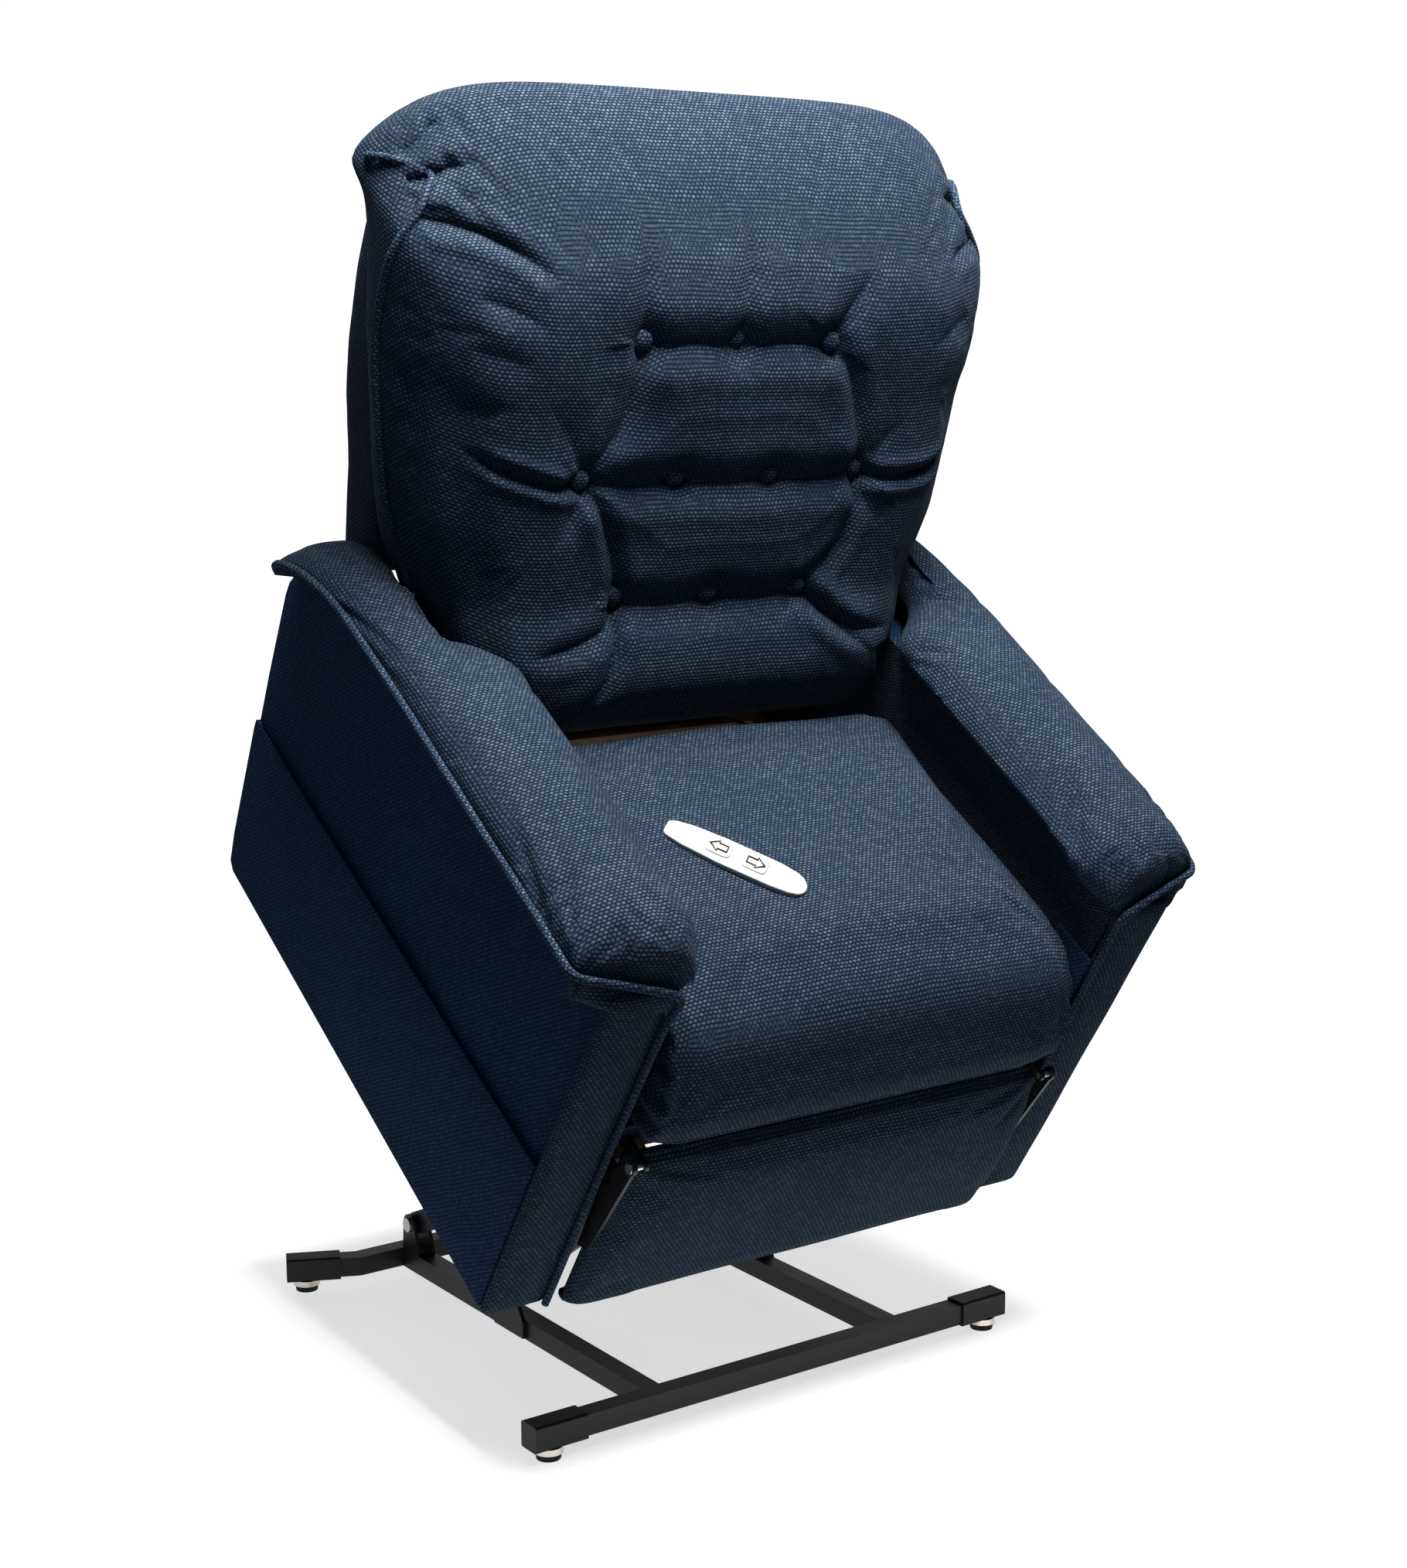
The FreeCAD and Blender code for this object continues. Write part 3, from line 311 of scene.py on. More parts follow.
def make_materials():
    weave = make_weave_group()
    return {
        "navy_fabric": make_fabric("navy_chenille", weave),
        "navy_welt": make_fabric("navy_welt_cloth", weave, (1.25, 1.25, 1.25)),
        # Darker, bluer copy of the same chenille: painted shade for the arm sides, pockets, decks, leg rest
        # edge and slot strips.
        "navy_painted_shade": make_fabric("navy_cloth_painted_shade", weave, (0.56, 0.98, 1.40)),
        "black_steel": make_paint(),
        "zinc_steel": make_metal("zinc_plate", (0.62, 0.62, 0.60), 0.34),
        "polished_rod": make_metal("polished_rod", (0.78, 0.78, 0.79), 0.12),
        "nickel": make_metal("nickel_ring", (0.70, 0.66, 0.60), 0.16),
        "black_plastic": make_plastic("black_plastic", (0.010, 0.010, 0.011), 0.46),
        "glide_rubber": make_plastic("glide_rubber", (0.014, 0.014, 0.014), 0.75, 420.0, 0.0005),
        "cord_rubber": make_plastic("cord_rubber", (0.009, 0.009, 0.010), 0.55, 500.0),
        "grey_plastic": make_plastic("grey_plastic", (0.50, 0.48, 0.45), 0.50),
        "white_plastic": make_plastic("white_plastic", (0.30, 0.30, 0.295), 0.55),
        "print_black": make_plastic("printed_ink", (0.012, 0.012, 0.013), 0.5, 900.0, 0.00005),
        "plywood": make_plywood(),
    }


# ---------------------------------------------------------------- mesh helpers
def curve_points(points, count):
    """Smooth line through the given points (Catmull-Rom spline), resampled evenly."""
    p = np.array(points, float)
    p = np.vstack([2 * p[0] - p[1], p, 2 * p[-1] - p[-2]])
    fine = []
    for i in range(1, len(p) - 2):
        for t in np.linspace(0, 1, 24, endpoint=False):
            a, b, c, d = p[i - 1], p[i], p[i + 1], p[i + 2]
            fine.append(0.5 * (2 * b + (c - a) * t + (2 * a - 5 * b + 4 * c - d) * t * t
                               + (3 * b - a - 3 * c + d) * t ** 3))
    fine.append(p[-2])
    fine = np.array(fine)
    steps = np.r_[0, np.cumsum(np.linalg.norm(np.diff(fine, axis=0), axis=1))]
    wanted = np.linspace(0, steps[-1], count)
    return np.array([[np.interp(w, steps, fine[:, k]) for k in range(p.shape[1])] for w in wanted])


def place_object(name, data, matrix=SEATED):
    made = bpy.data.objects.new(name, data)
    made.matrix_world = matrix
    SCENE.collection.objects.link(made)
    return made


def shade_smooth(mesh):
    mesh.polygons.foreach_set("use_smooth", [True] * len(mesh.polygons))


def mesh_object(name, vertices, faces, matrix=SEATED):
    mesh = bpy.data.meshes.new(name)
    mesh.from_pydata([tuple(v) for v in vertices], [], faces)
    bm = bmesh.new()
    bm.from_mesh(mesh)
    bmesh.ops.recalc_face_normals(bm, faces=bm.faces)
    bm.to_mesh(mesh)
    bm.free()
    shade_smooth(mesh)
    return place_object(name, mesh, matrix)


def loft(name, rings, matrix=SEATED):
    """Closed solid through rings of equal length, with flat fans at both ends."""
    n = len(rings[0])
    vertices = [tuple(p) for ring in rings for p in ring]
    faces = [(k * n + i, k * n + (i + 1) % n, (k + 1) * n + (i + 1) % n, (k + 1) * n + i)
             for k in range(len(rings) - 1) for i in range(n)]
    for k, ring in ((0, rings[0]), (len(rings) - 1, rings[-1])):
        vertices.append(tuple(np.mean(ring, axis=0)))
        c = len(vertices) - 1
        faces += [(c, k * n + i, k * n + (i + 1) % n) for i in range(n)]
    return mesh_object(name, vertices, faces, matrix)


def apply_modifiers(obj):
    graph = bpy.context.evaluated_depsgraph_get()
    mesh = bpy.data.meshes.new_from_object(obj.evaluated_get(graph))
    obj.modifiers.clear()
    obj.data = mesh
    shade_smooth(mesh)


def get_points(obj):
    co = np.empty(len(obj.data.vertices) * 3)
    obj.data.vertices.foreach_get("co", co)
    return co.reshape(-1, 3)


def set_points(obj, co):
    obj.data.vertices.foreach_set("co", co.ravel())
    obj.data.update()


def get_normals(obj):
    normals = np.empty(len(obj.data.vertices) * 3, np.float32)
    obj.data.vertex_normals.foreach_get("vector", normals)
    return normals.reshape(-1, 3).astype(float)


def remesh(obj, voxel):
    modifier = obj.modifiers.new("remesh", "REMESH")
    modifier.mode = "VOXEL"
    modifier.voxel_size = voxel
    soften = obj.modifiers.new("relax", "SMOOTH")
    soften.factor = 0.5
    soften.iterations = 4
    apply_modifiers(obj)


SWELL_FRAMES = 20


def swell(obj, cap, pressure, stay):
    """Blow the closed cover up a little as cloth; no point moves further than cap. stay marks held points."""
    before = get_points(obj)
    cloth = obj.modifiers.new("cloth", "CLOTH")
    settings = cloth.settings
    settings.quality = 5
    settings.use_pressure = True
    settings.uniform_pressure_force = pressure
    settings.effector_weights.gravity = 0.0
    settings.tension_stiffness = 12.0
    settings.compression_stiffness = 12.0
    settings.bending_stiffness = 0.6
    group = obj.vertex_groups.new(name="held")
    for i, w in enumerate(stay(before)):
        if w > 0.01:
            group.add([i], float(w), "REPLACE")
    settings.vertex_group_mass = "held"
    cloth.point_cache.frame_start = 1
    cloth.point_cache.frame_end = SWELL_FRAMES
    for f in range(1, SWELL_FRAMES + 1):
        SCENE.frame_set(f)
    graph = bpy.context.evaluated_depsgraph_get()
    after = get_points(obj.evaluated_get(graph))
    obj.modifiers.clear()
    SCENE.frame_set(1)
    move = after - before
    far = np.maximum(np.linalg.norm(move, axis=1, keepdims=True), 1e-9)
    set_points(obj, before + move * np.minimum(1.0, cap / far))


def subdivide(obj):
    modifier = obj.modifiers.new("fine", "SUBSURF")
    modifier.levels = 1
    modifier.render_levels = 1
    apply_modifiers(obj)


def make_curve(name, points, radius, kind="NURBS", round_steps=3, length_steps=12, matrix=SEATED):
    """Round cord along the points: an open smooth line, or a closed angular one for kind POLY."""
    data = bpy.data.curves.new(name, "CURVE")
    data.dimensions = "3D"
    data.bevel_depth = radius
    data.bevel_resolution = round_steps
    data.resolution_u = length_steps
    spline = data.splines.new(kind)
    spline.points.add(len(points) - 1)
    for target, p in zip(spline.points, points):
        target.co = (*p, 1)
    if kind == "NURBS":
        data.use_fill_caps = True
        spline.order_u = 3
        spline.use_endpoint_u = True
    else:
        spline.use_cyclic_u = True
    return place_object(name, data, matrix)


def dress(obj, material, body, slot, *nodes, fill=None):
    """Give a piece its material, its body and the CAD nodes it stands for; the record slot is not used."""
    obj.data.materials.clear()
    obj.data.materials.append(MATERIALS[material])
    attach(obj, body)
    if nodes:
        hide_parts(*nodes)
    return obj


def smooth_step(value, low, high):
    t = np.clip((value - low) / (high - low), 0, 1)
    return t * t * (3 - 2 * t)


def line_distance(points, path):
    """Distance of flat points to a polyline, the share of the way along it, and the signed side."""
    best = np.full(len(points), 1e9)
    share = np.zeros(len(points))
    side = np.zeros(len(points))
    lengths = np.linalg.norm(np.diff(path, axis=0), axis=1)
    starts = np.r_[0, np.cumsum(lengths)]
    for i, (a, b) in enumerate(zip(path, path[1:])):
        d = b - a
        t = np.clip(((points - a) @ d) / (d @ d), 0, 1)
        off = points - (a + t[:, None] * d)
        distance = np.linalg.norm(off, axis=1)
        closer = distance < best
        best[closer] = distance[closer]
        share[closer] = ((starts[i] + t * lengths[i]) / starts[-1])[closer]
        side[closer] = (d[0] * off[:, 1] - d[1] * off[:, 0])[closer] / lengths[i]
    return best, share, side


def crease(points, path, depth, width, fade=(0.15, 0.15), lip=0.35, count=24):
    """Inward depth of a sewn or pulled crease, with a soft raised lip beside it."""
    line = curve_points(path, count)
    distance, share, _ = line_distance(points, line)
    ends = smooth_step(share, 0, max(fade[0], 1e-3)) * (1 - smooth_step(share, 1 - max(fade[1], 1e-3), 1))
    sharp = np.exp(-distance / width)
    soft = np.exp(-((distance - 3.2 * width) / (1.9 * width)) ** 2)
    return ends * depth * (sharp - lip * soft)


# ---------------------------------------------------------------- seat and leg rest
def rounded_loop(points, count):
    """Closed smooth loop through side-view points, evenly resampled."""
    closed = list(points) + [points[0]]
    return curve_points(closed, count + 1)[:-1]


SEAT_HALF = 0.295
SEAT_SIDE = [(0.428, 0.268), (0.430, 0.345), (0.4355, 0.372), (0.4355, 0.408), (0.425, 0.427),
             (0.300, 0.431), (0.180, 0.432), (0.080, 0.430), (0.022, 0.420), (-0.020, 0.394),
             (-0.041, 0.352), (-0.046, 0.302), (-0.038, 0.266), (-0.018, 0.256), (0.020, 0.264),
             (0.120, 0.2655), (0.300, 0.2655)]


def make_seat():
    """Crowned box cushion with a rolled front edge; its ends draw in over the last few centimetres."""
    loop = rounded_loop(SEAT_SIDE, 84)
    middle = np.array([0.19, 0.345])
    rings = []
    for k in np.linspace(-1, 1, 41):
        x = SEAT_HALF * 0.985 * np.sign(k) * abs(k) ** 0.85
        edge = abs(x) / SEAT_HALF
        draw = 1 - 0.085 * smooth_step(edge, 0.80, 1.0) ** 1.6
        crown = 0.006 * (1 - edge ** 2)
        ring = middle + (loop - middle) * np.array([1 - (1 - draw) * 0.35, draw])
        lift = crown * smooth_step(loop[:, 1], 0.38, 0.43)
        rings.append([(x, y, z + dz) for (y, z), dz in zip(ring, lift)])
    seat = loft("seat_cushion_cover", rings)
    remesh(seat, 0.006)
    swell(seat, 0.010, 4.0, stay=lambda p: np.maximum(1 - smooth_step(p[:, 2], 0.275, 0.33),
                                                      smooth_step(p[:, 1], 0.37, 0.42)))
    subdivide(seat)
    p = get_points(seat)
    n = get_normals(seat)
    top = smooth_step(n[:, 2], 0.2, 0.8)
    front = smooth_step(-n[:, 1], 0.2, 0.9)
    side = smooth_step(np.abs(n[:, 0]), 0.25, 0.8)
    plan = p[:, [0, 1]]
    lean = np.zeros(len(p))
    for path, depth in ((((-0.25, 0.36), (-0.16, 0.30), (-0.06, 0.29)), 0.0022),
                        (((0.25, 0.33), (0.17, 0.26), (0.10, 0.25)), 0.0020),
                        (((-0.26, 0.10), (-0.19, 0.08), (-0.10, 0.09)), 0.0018),
                        (((0.26, 0.06), (0.20, 0.05), (0.11, 0.07)), 0.0018)):
        lean += crease(plan, path, depth, 0.014, (0.4, 0.4)) * top
    soft = 0.0022 * np.sin(p[:, 0] * 19 + 1.3) * np.sin(p[:, 1] * 15 + 0.4) * top
    gather = 0.0026 * np.sin(p[:, 2] * 210 + 5 * np.abs(p[:, 0])) * side * smooth_step(-p[:, 1], -0.03, 0.02)
    seam = 0.006 * np.exp(-((p[:, 2] - 0.270) / 0.006) ** 2) * front
    p -= n * (lean - soft + gather + seam)[:, None]
    set_points(seat, p)
    return dress(seat, "navy_fabric", "carriage", "navy_fabric", "seat_cushion", fill=0.85)


REST_SIDE = [(-0.0125, 0.000), (-0.028, 0.000), (-0.0385, 0.014), (-0.045, 0.060), (-0.0475, 0.120),
             (-0.044, 0.180), (-0.0365, 0.222), (-0.034, 0.235), (-0.027, 0.238), (-0.0125, 0.2385),
             (-0.0125, 0.120)]


REST_HALF = 0.3030


def make_leg_rest():
    """Upholstered panel under the seat front: shallow padding drawn over a board."""
    loop = rounded_loop(REST_SIDE, 72)
    rings = []
    for k in np.linspace(-1, 1, 41):
        x = REST_HALF * np.sign(k) * abs(k) ** 0.85
        edge = abs(x) / REST_HALF
        flat = 1 - 0.45 * smooth_step(edge, 0.92, 1.0) ** 2
        short = 0.004 * smooth_step(edge, 0.9, 1.0)
        ring = []
        for y, z in loop:
            ring.append((x, -0.0125 + (y + 0.0125) * flat, z + short * (1 if z < 0.12 else -1)))
        rings.append(ring)
    pad = loft("leg_rest_cover", rings)
    remesh(pad, 0.005)
    swell(pad, 0.004, 3.0, stay=lambda p: smooth_step(p[:, 1], -0.020, -0.013))
    subdivide(pad)
    p = get_points(pad)
    n = get_normals(pad)
    front = smooth_step(-n[:, 1], 0.3, 0.9)
    ripple = 0.0012 * np.sin(p[:, 0] * 23 + 0.7) * np.sin(p[:, 2] * 17 + 0.2) * front
    p += n * ripple[:, None]
    set_points(pad, p)
    return dress(pad, "navy_fabric", "leg_rest", "navy_fabric", "footrest_pad", fill=0.7)


def make_leg_rest_edge():
    """Cover cloth turned round the two sides and the foot of the leg rest board."""
    path = [(-0.2860, 0.226), (-0.2862, 0.120), (-0.2862, 0.004), (-0.2840, 0.0012), (-0.1400, 0.0010),
            (0.1400, 0.0010), (0.2840, 0.0012), (0.2862, 0.004), (0.2862, 0.120), (0.2860, 0.226)]
    rings = []
    for x, z in curve_points(path, 120):
        sides = abs(x) > 0.2845
        out = np.array([math.copysign(1.0, x), 0.0]) if sides else np.array([0.0, -1.0])
        ring = []
        for off, y in ((-0.0022, -0.0125), (0.0020, -0.0125), (0.0026, -0.0060), (0.0018, -0.0010),
                       (-0.0004, 0.0012), (-0.0140, 0.0014), (-0.0140, 0.0003), (-0.0022, 0.0003)):
            ring.append((x + out[0] * off, y, z + out[1] * off))
        rings.append(ring)
    edge = loft("leg_rest_edge", rings)
    # Dressed in the darker, bluer copy of the chenille: painted shade.
    return dress(edge, "navy_painted_shade", "leg_rest", "navy_fabric")


# ---------------------------------------------------------------- arms
PAD_TOP = [(0.0180, 0.508), (0.0205, 0.527), (0.033, 0.543), (0.070, 0.553), (0.300, 0.558), (0.560, 0.560),
           (0.640, 0.555), (0.690, 0.537), (0.720, 0.517), (0.740, 0.494), (0.748, 0.471)]
WELT_LINE = [(0.018, 0.5065), (0.040, 0.508), (0.117, 0.514), (0.224, 0.518), (0.337, 0.523), (0.456, 0.528),
             (0.578, 0.528), (0.646, 0.518), (0.690, 0.504), (0.728, 0.485), (0.744, 0.466)]
ARM_TOP = 0.490
ARM_LOW = [(0.004, 0.0), (0.712, 0.014), (0.724, 0.022), (0.732, 0.060), (0.759, 0.284), (0.7705, 0.405)]
ARM_HIGH = [(0.004, ARM_TOP), (0.700, ARM_TOP), (0.730, 0.480), (0.752, 0.458), (0.769, 0.425),
            (0.7705, 0.407)]
WELT_RADIUS = 0.0046


def line_height(line, y):
    return np.interp(y, [p[0] for p in line], [p[1] for p in line])


def pad_inner(y):
    return 0.270 + (0.343 - 0.270) * float(smooth_step(np.array(y), 0.430, 0.525))


def slant_nose(p):
    """Carry the pad's nose forward and down towards the seat side, as it is cut."""
    inward = 1 - np.clip((np.abs(p[:, 0]) - 0.310) / 0.1245, 0, 1)
    near = 1 - smooth_step(p[:, 1], 0.020, 0.150)
    p[:, 1] -= 0.026 * inward * near
    p[:, 2] -= 0.024 * inward * near * (1 - smooth_step(p[:, 2], 0.495, 0.545))
    return p


def make_arm_pad(side, name):
    """Long pillow arm: rounded inside edge, high crown, outside edge sewn to the welt."""
    top = curve_points(PAD_TOP, 60)
    rings = []
    for y, z_top in top:
        z_out = line_height(WELT_LINE, y)
        z_low = min(line_height(ARM_HIGH, y) + 0.002, z_top - 0.005)
        x_in = pad_inner(y)
        nose = smooth_step(np.array(y), 0.018, 0.070)
        tail = 1 - smooth_step(np.array(y), 0.705, 0.751)
        tall = max(z_top - z_low, 0.004)
        x_side = x_in + 0.022 * (1 - nose) + 0.010 * (1 - tail)
        x_out = 0.4345 - 0.004 * (1 - nose)
        rise = z_top - z_out
        half = [(x_out, z_out - 0.002), (x_out + 0.001, z_out + 0.28 * rise),
                (x_out - 0.007, z_out + 0.56 * rise), (x_out - 0.026, z_out + 0.82 * rise),
                (x_out - 0.052, z_out + 0.96 * rise),
                (x_out - 0.075, z_top), (x_side + 0.058, z_top), (x_side + 0.024, z_low + 0.88 * tall),
                (x_side + 0.004, z_low + 0.60 * tall), (x_side, z_low + 0.30 * tall),
                (x_side + 0.010, z_low + 0.02), (x_side + 0.03, z_low), (0.396, z_low)]
        ring = rounded_loop(half, 64)
        rings.append([(side * x, y, z) for x, z in ring])
    pad = loft(name, rings)
    set_points(pad, slant_nose(get_points(pad)))
    remesh(pad, 0.005)
    swell(pad, 0.012, 5.0, stay=lambda p: 1 - smooth_step(p[:, 2], 0.497, 0.520))
    subdivide(pad)
    p = get_points(pad)
    n = get_normals(pad)
    top_face = smooth_step(n[:, 2], -0.2, 0.6)
    x = np.abs(p[:, 0])
    plan = np.stack([x, p[:, 1]], axis=1)
    dip = np.zeros(len(p))
    for y in (0.034, 0.052, 0.072, 0.094):
        dip += crease(plan, ((0.436, y), (0.418, y + 0.006), (0.392, y + 0.010)), 0.0022, 0.0045, (0.02, 0.6))
    for y in (0.15, 0.31, 0.47):
        dip += crease(plan, ((0.432, y), (0.395, y + 0.012)), 0.0016, 0.010, (0.05, 0.6))
    for y, back in ((0.50, 0.03), (0.55, 0.02)):
        dip += crease(plan, ((0.345, y), (0.372, y - back), (0.395, y - back)), 0.0030, 0.009, (0.05, 0.6))
    nose_fold = crease(p[:, [0, 2]] * np.array([side, 1]), ((0.384, 0.500), (0.382, 0.520), (0.372, 0.534)),
                       0.003, 0.005, (0.02, 0.5)) * smooth_step(-n[:, 1], 0.3, 0.8)
    soft = 0.0016 * np.sin(p[:, 1] * 17 + side) * np.sin(x * 31) * top_face
    p -= n * (dip * top_face + nose_fold - soft)[:, None]
    set_points(pad, p)
    return dress(pad, "navy_fabric", "carriage", "navy_fabric", f"arm_pad_{name.split('_')[-1]}", fill=0.8)


def make_arm_welt(side, name):
    """One piping cord: along the outer edge, across the nose and down the inner edge of the front panel."""
    outer = [(0.3500, 0.7490, 0.4670), (0.3800, 0.7500, 0.4670), (0.4100, 0.7490, 0.4660),
             (0.4300, 0.7440, 0.4670)]
    outer += [(0.4365, y, z) for y, z in reversed(WELT_LINE[1:-1])]
    nose = [(0.4340, 0.0160, 0.5050), (0.4200, 0.0100, 0.5020), (0.3700, -0.0020, 0.4935),
            (0.3320, -0.0110, 0.4860)]
    drop = [(0.3120, -0.0145, 0.4790), (0.3085, -0.0130, 0.4620), (0.3140, -0.0115, 0.4300),
            (0.3165, -0.0110, 0.2500), (0.3165, -0.0110, -0.0040)]
    path = curve_points([(side * x, y, z) for x, y, z in outer + nose + drop], 110)
    cord = make_curve(name, path, WELT_RADIUS)
    return dress(cord, "navy_welt", "carriage", "navy_fabric", name)


def make_arm_band(side, name):
    """Sloping strip between the welt and the side panel, carried round the front under the pad's nose."""
    rings = []
    for y, z in curve_points(list(reversed(WELT_LINE[1:])) + [(0.026, 0.5065)], 70):
        low = min(line_height(ARM_HIGH, y) - 0.006, z - 0.020)
        rings.append([(side * x, y, h) for x, h in (
            (0.4335, z - 0.001), (0.4275, z - 0.010), (0.4050, low + 0.006),
            (0.3905, low), (0.3900, z - 0.010), (0.4000, z - 0.001))])
    for y, out, z in ((0.018, 0.4320, 0.5050), (0.012, 0.4250, 0.5040), (0.009, 0.4150, 0.5020)):
        low = 0.4760
        rings.append([(side * x, y + dy, h) for x, dy, h in (
            (out, 0, z - 0.002), (out - 0.003, 0.001, z - 0.010), (0.3990, 0.004, low + 0.004),
            (0.3900, 0.008, low), (0.3900, 0.012, z - 0.010), (0.4000, 0.008, z - 0.002))])
    band = loft(name, rings)
    return band


def make_front_band(side, name):
    """The same strip across the front, between the nose welt and the front panel."""
    rings = []
    for x in np.linspace(0.4270, 0.3115, 28):
        t = (x - 0.310) / 0.1245
        y, z = -0.012 + 0.026 * t, 0.480 + 0.024 * t
        foot = min(-0.0095 + 0.004 * t + 0.018 * float(smooth_step(np.array(x), 0.385, 0.427)), y + 0.010)
        rings.append([(side * x, a, b) for a, b in (
            (y, z), (y - 0.001, z - 0.008), (foot - 0.002, z - 0.022), (foot + 0.001, z - 0.030),
            (foot + 0.008, z - 0.031), (y + 0.016, z - 0.010), (y + 0.012, z + 0.001))])
    return loft(name, rings)


def join(name, objects):
    """One object out of several meshes that share a matrix."""
    bm = bmesh.new()
    for obj in objects:
        bm.from_mesh(obj.data)
        bpy.data.objects.remove(obj)
    mesh = bpy.data.meshes.new(name)
    bm.to_mesh(mesh)
    bm.free()
    shade_smooth(mesh)
    return place_object(name, mesh)


def slab(name, columns, face, back, rows=46, puff=0.0022, edge=0.014):
    """Padded board with rolled edges: columns give (y, low z, high z), face and back its two x planes."""
    front, rear = [], []
    count = len(columns)
    for i, (y, low, high) in enumerate(columns):
        for k in range(rows + 1):
            z = low + (high - low) * k / rows
            near = min(z - low, high - z, y - columns[0][0], columns[-1][0] - y)
            lift = puff * (1 - math.exp(-max(near, 0) / edge))
            wave = 0.0007 * math.sin(19 * y + 1.1) * math.sin(14 * z + 0.6) * min(1, near / 0.05)
            front.append((face + math.copysign(lift + wave, face - back), y, z))
            rear.append((back, y, z))
    n = rows + 1
    faces = []
    for i in range(count - 1):
        for k in range(rows):
            a = i * n + k
            quad = (a, a + 1, a + n + 1, a + n)
            faces.append(quad)
            faces.append(tuple(count * n + v for v in reversed(quad)))
    last = (count - 1) * n
    rim = [*range(n), *range(n + rows, count * n, n), *range(last + rows - 1, last - 1, -1),
           *range(last - n, 0, -n)]
    for a, b in zip(rim, rim[1:] + rim[:1]):
        faces.append((a, b, count * n + b, count * n + a))
    made = mesh_object(name, front + rear, faces)
    bevel = made.modifiers.new("roll", "BEVEL")
    bevel.width = min(0.0016, abs(face - back) * 0.45)
    bevel.segments = 3
    bevel.limit_method = "ANGLE"
    bevel.angle_limit = math.radians(50)
    apply_modifiers(made)
    return made


def make_arm_side(side, name):
    """Fabric drawn over the outer side of the arm."""
    ys = np.unique(np.r_[np.linspace(0.005, 0.770, 72), [y for y, _ in ARM_LOW[1:] + ARM_HIGH[1:]]])
    columns = [(y, line_height(ARM_LOW, y), line_height(ARM_HIGH, y)) for y in ys]
    panel = slab(name, columns, side * 0.3900, side * 0.3886, puff=0.0016)
    # Dressed in the darker, bluer copy of the chenille: painted shade.
    return dress(panel, "navy_painted_shade", "carriage", "navy_fabric", name)


def make_pockets():
    """Low side pockets: a fabric front a few millimetres off the arm, closed at its ends and foot."""
    parts = []
    for side in (-1, 1):
        ys = np.unique(np.r_[np.linspace(0.0045, 0.7510, 70), [y for y, _ in ARM_LOW[1:4]]])
        skin = [(y, line_height(ARM_LOW, y) + 0.001, 0.2300) for y in ys]
        parts.append(slab("pocket_skin", skin, side * 0.3970, side * 0.3950, puff=0.0012))
        foot = [(y, line_height(ARM_LOW, y) + 0.001, line_height(ARM_LOW, y) + 0.012) for y in ys]
        parts.append(slab("pocket_foot", foot, side * 0.3952, side * 0.3898, rows=4, puff=0.0))
        front_end = [(y, 0.0110, 0.2290) for y in np.linspace(0.0045, 0.0135, 5)]
        rear_end = [(y, line_height(ARM_LOW, y) + 0.001, min(0.2290, line_height(ARM_LOW, y + 0.013)))
                    for y in np.linspace(0.7145, 0.7500, 24)]
        for end in (front_end, rear_end):
            parts.append(slab("pocket_end", end, side * 0.3952, side * 0.3898, rows=20, puff=0.0))
    pockets = join("pocket_covers", parts)
    # Dressed in the darker, bluer copy of the chenille: painted shade.
    return dress(pockets, "navy_painted_shade", "carriage", "navy_fabric", "pocket_panels")


def make_arm_deck(side, name):
    """Cloth closing the top of the arm box, under the pad."""
    columns = [(y, 0.3135 if y < 0.580 else 0.3435, 0.3875) for y in np.linspace(0.008, 0.695, 52)]
    deck = slab(name, columns, 0.4893, 0.4870, rows=8, puff=0.0)
    p = get_points(deck)
    set_points(deck, np.stack([side * p[:, 2], p[:, 1], p[:, 0]], axis=1))
    # Dressed in the darker, bluer copy of the chenille: painted shade.
    return dress(deck, "navy_painted_shade", "carriage", "navy_fabric")


def make_seat_side_slot_shade(side, name):
    """Strip of the darker painted-shade cloth in the slot between the seat's front and the inside of the arm:
    a dark sheet standing in for the shade there.
    """
    columns = [(y, 0.2440, 0.4000) for y in np.linspace(-0.0060, 0.0600, 12)]
    side_slot_shade = slab(name, columns, side * 0.3070, side * 0.3095, rows=16, puff=0.0)
    return dress(side_slot_shade, "navy_painted_shade", "carriage", "navy_fabric")


def make_seat_front_slot_shade():
    """Strip of the darker painted-shade cloth in the slot between the seat front and the leg rest: a dark
    sheet standing in for the shade there.
    """
    columns = [(x, 0.2400, 0.2640) for x in np.linspace(-0.3060, 0.3060, 40)]
    front_slot_shade = slab("seat_front_slot_shade", columns, 0.0035, 0.0055, rows=6, puff=0.0)
    p = get_points(front_slot_shade)
    set_points(front_slot_shade, p[:, [1, 0, 2]])
    return dress(front_slot_shade, "navy_painted_shade", "carriage", "navy_fabric")


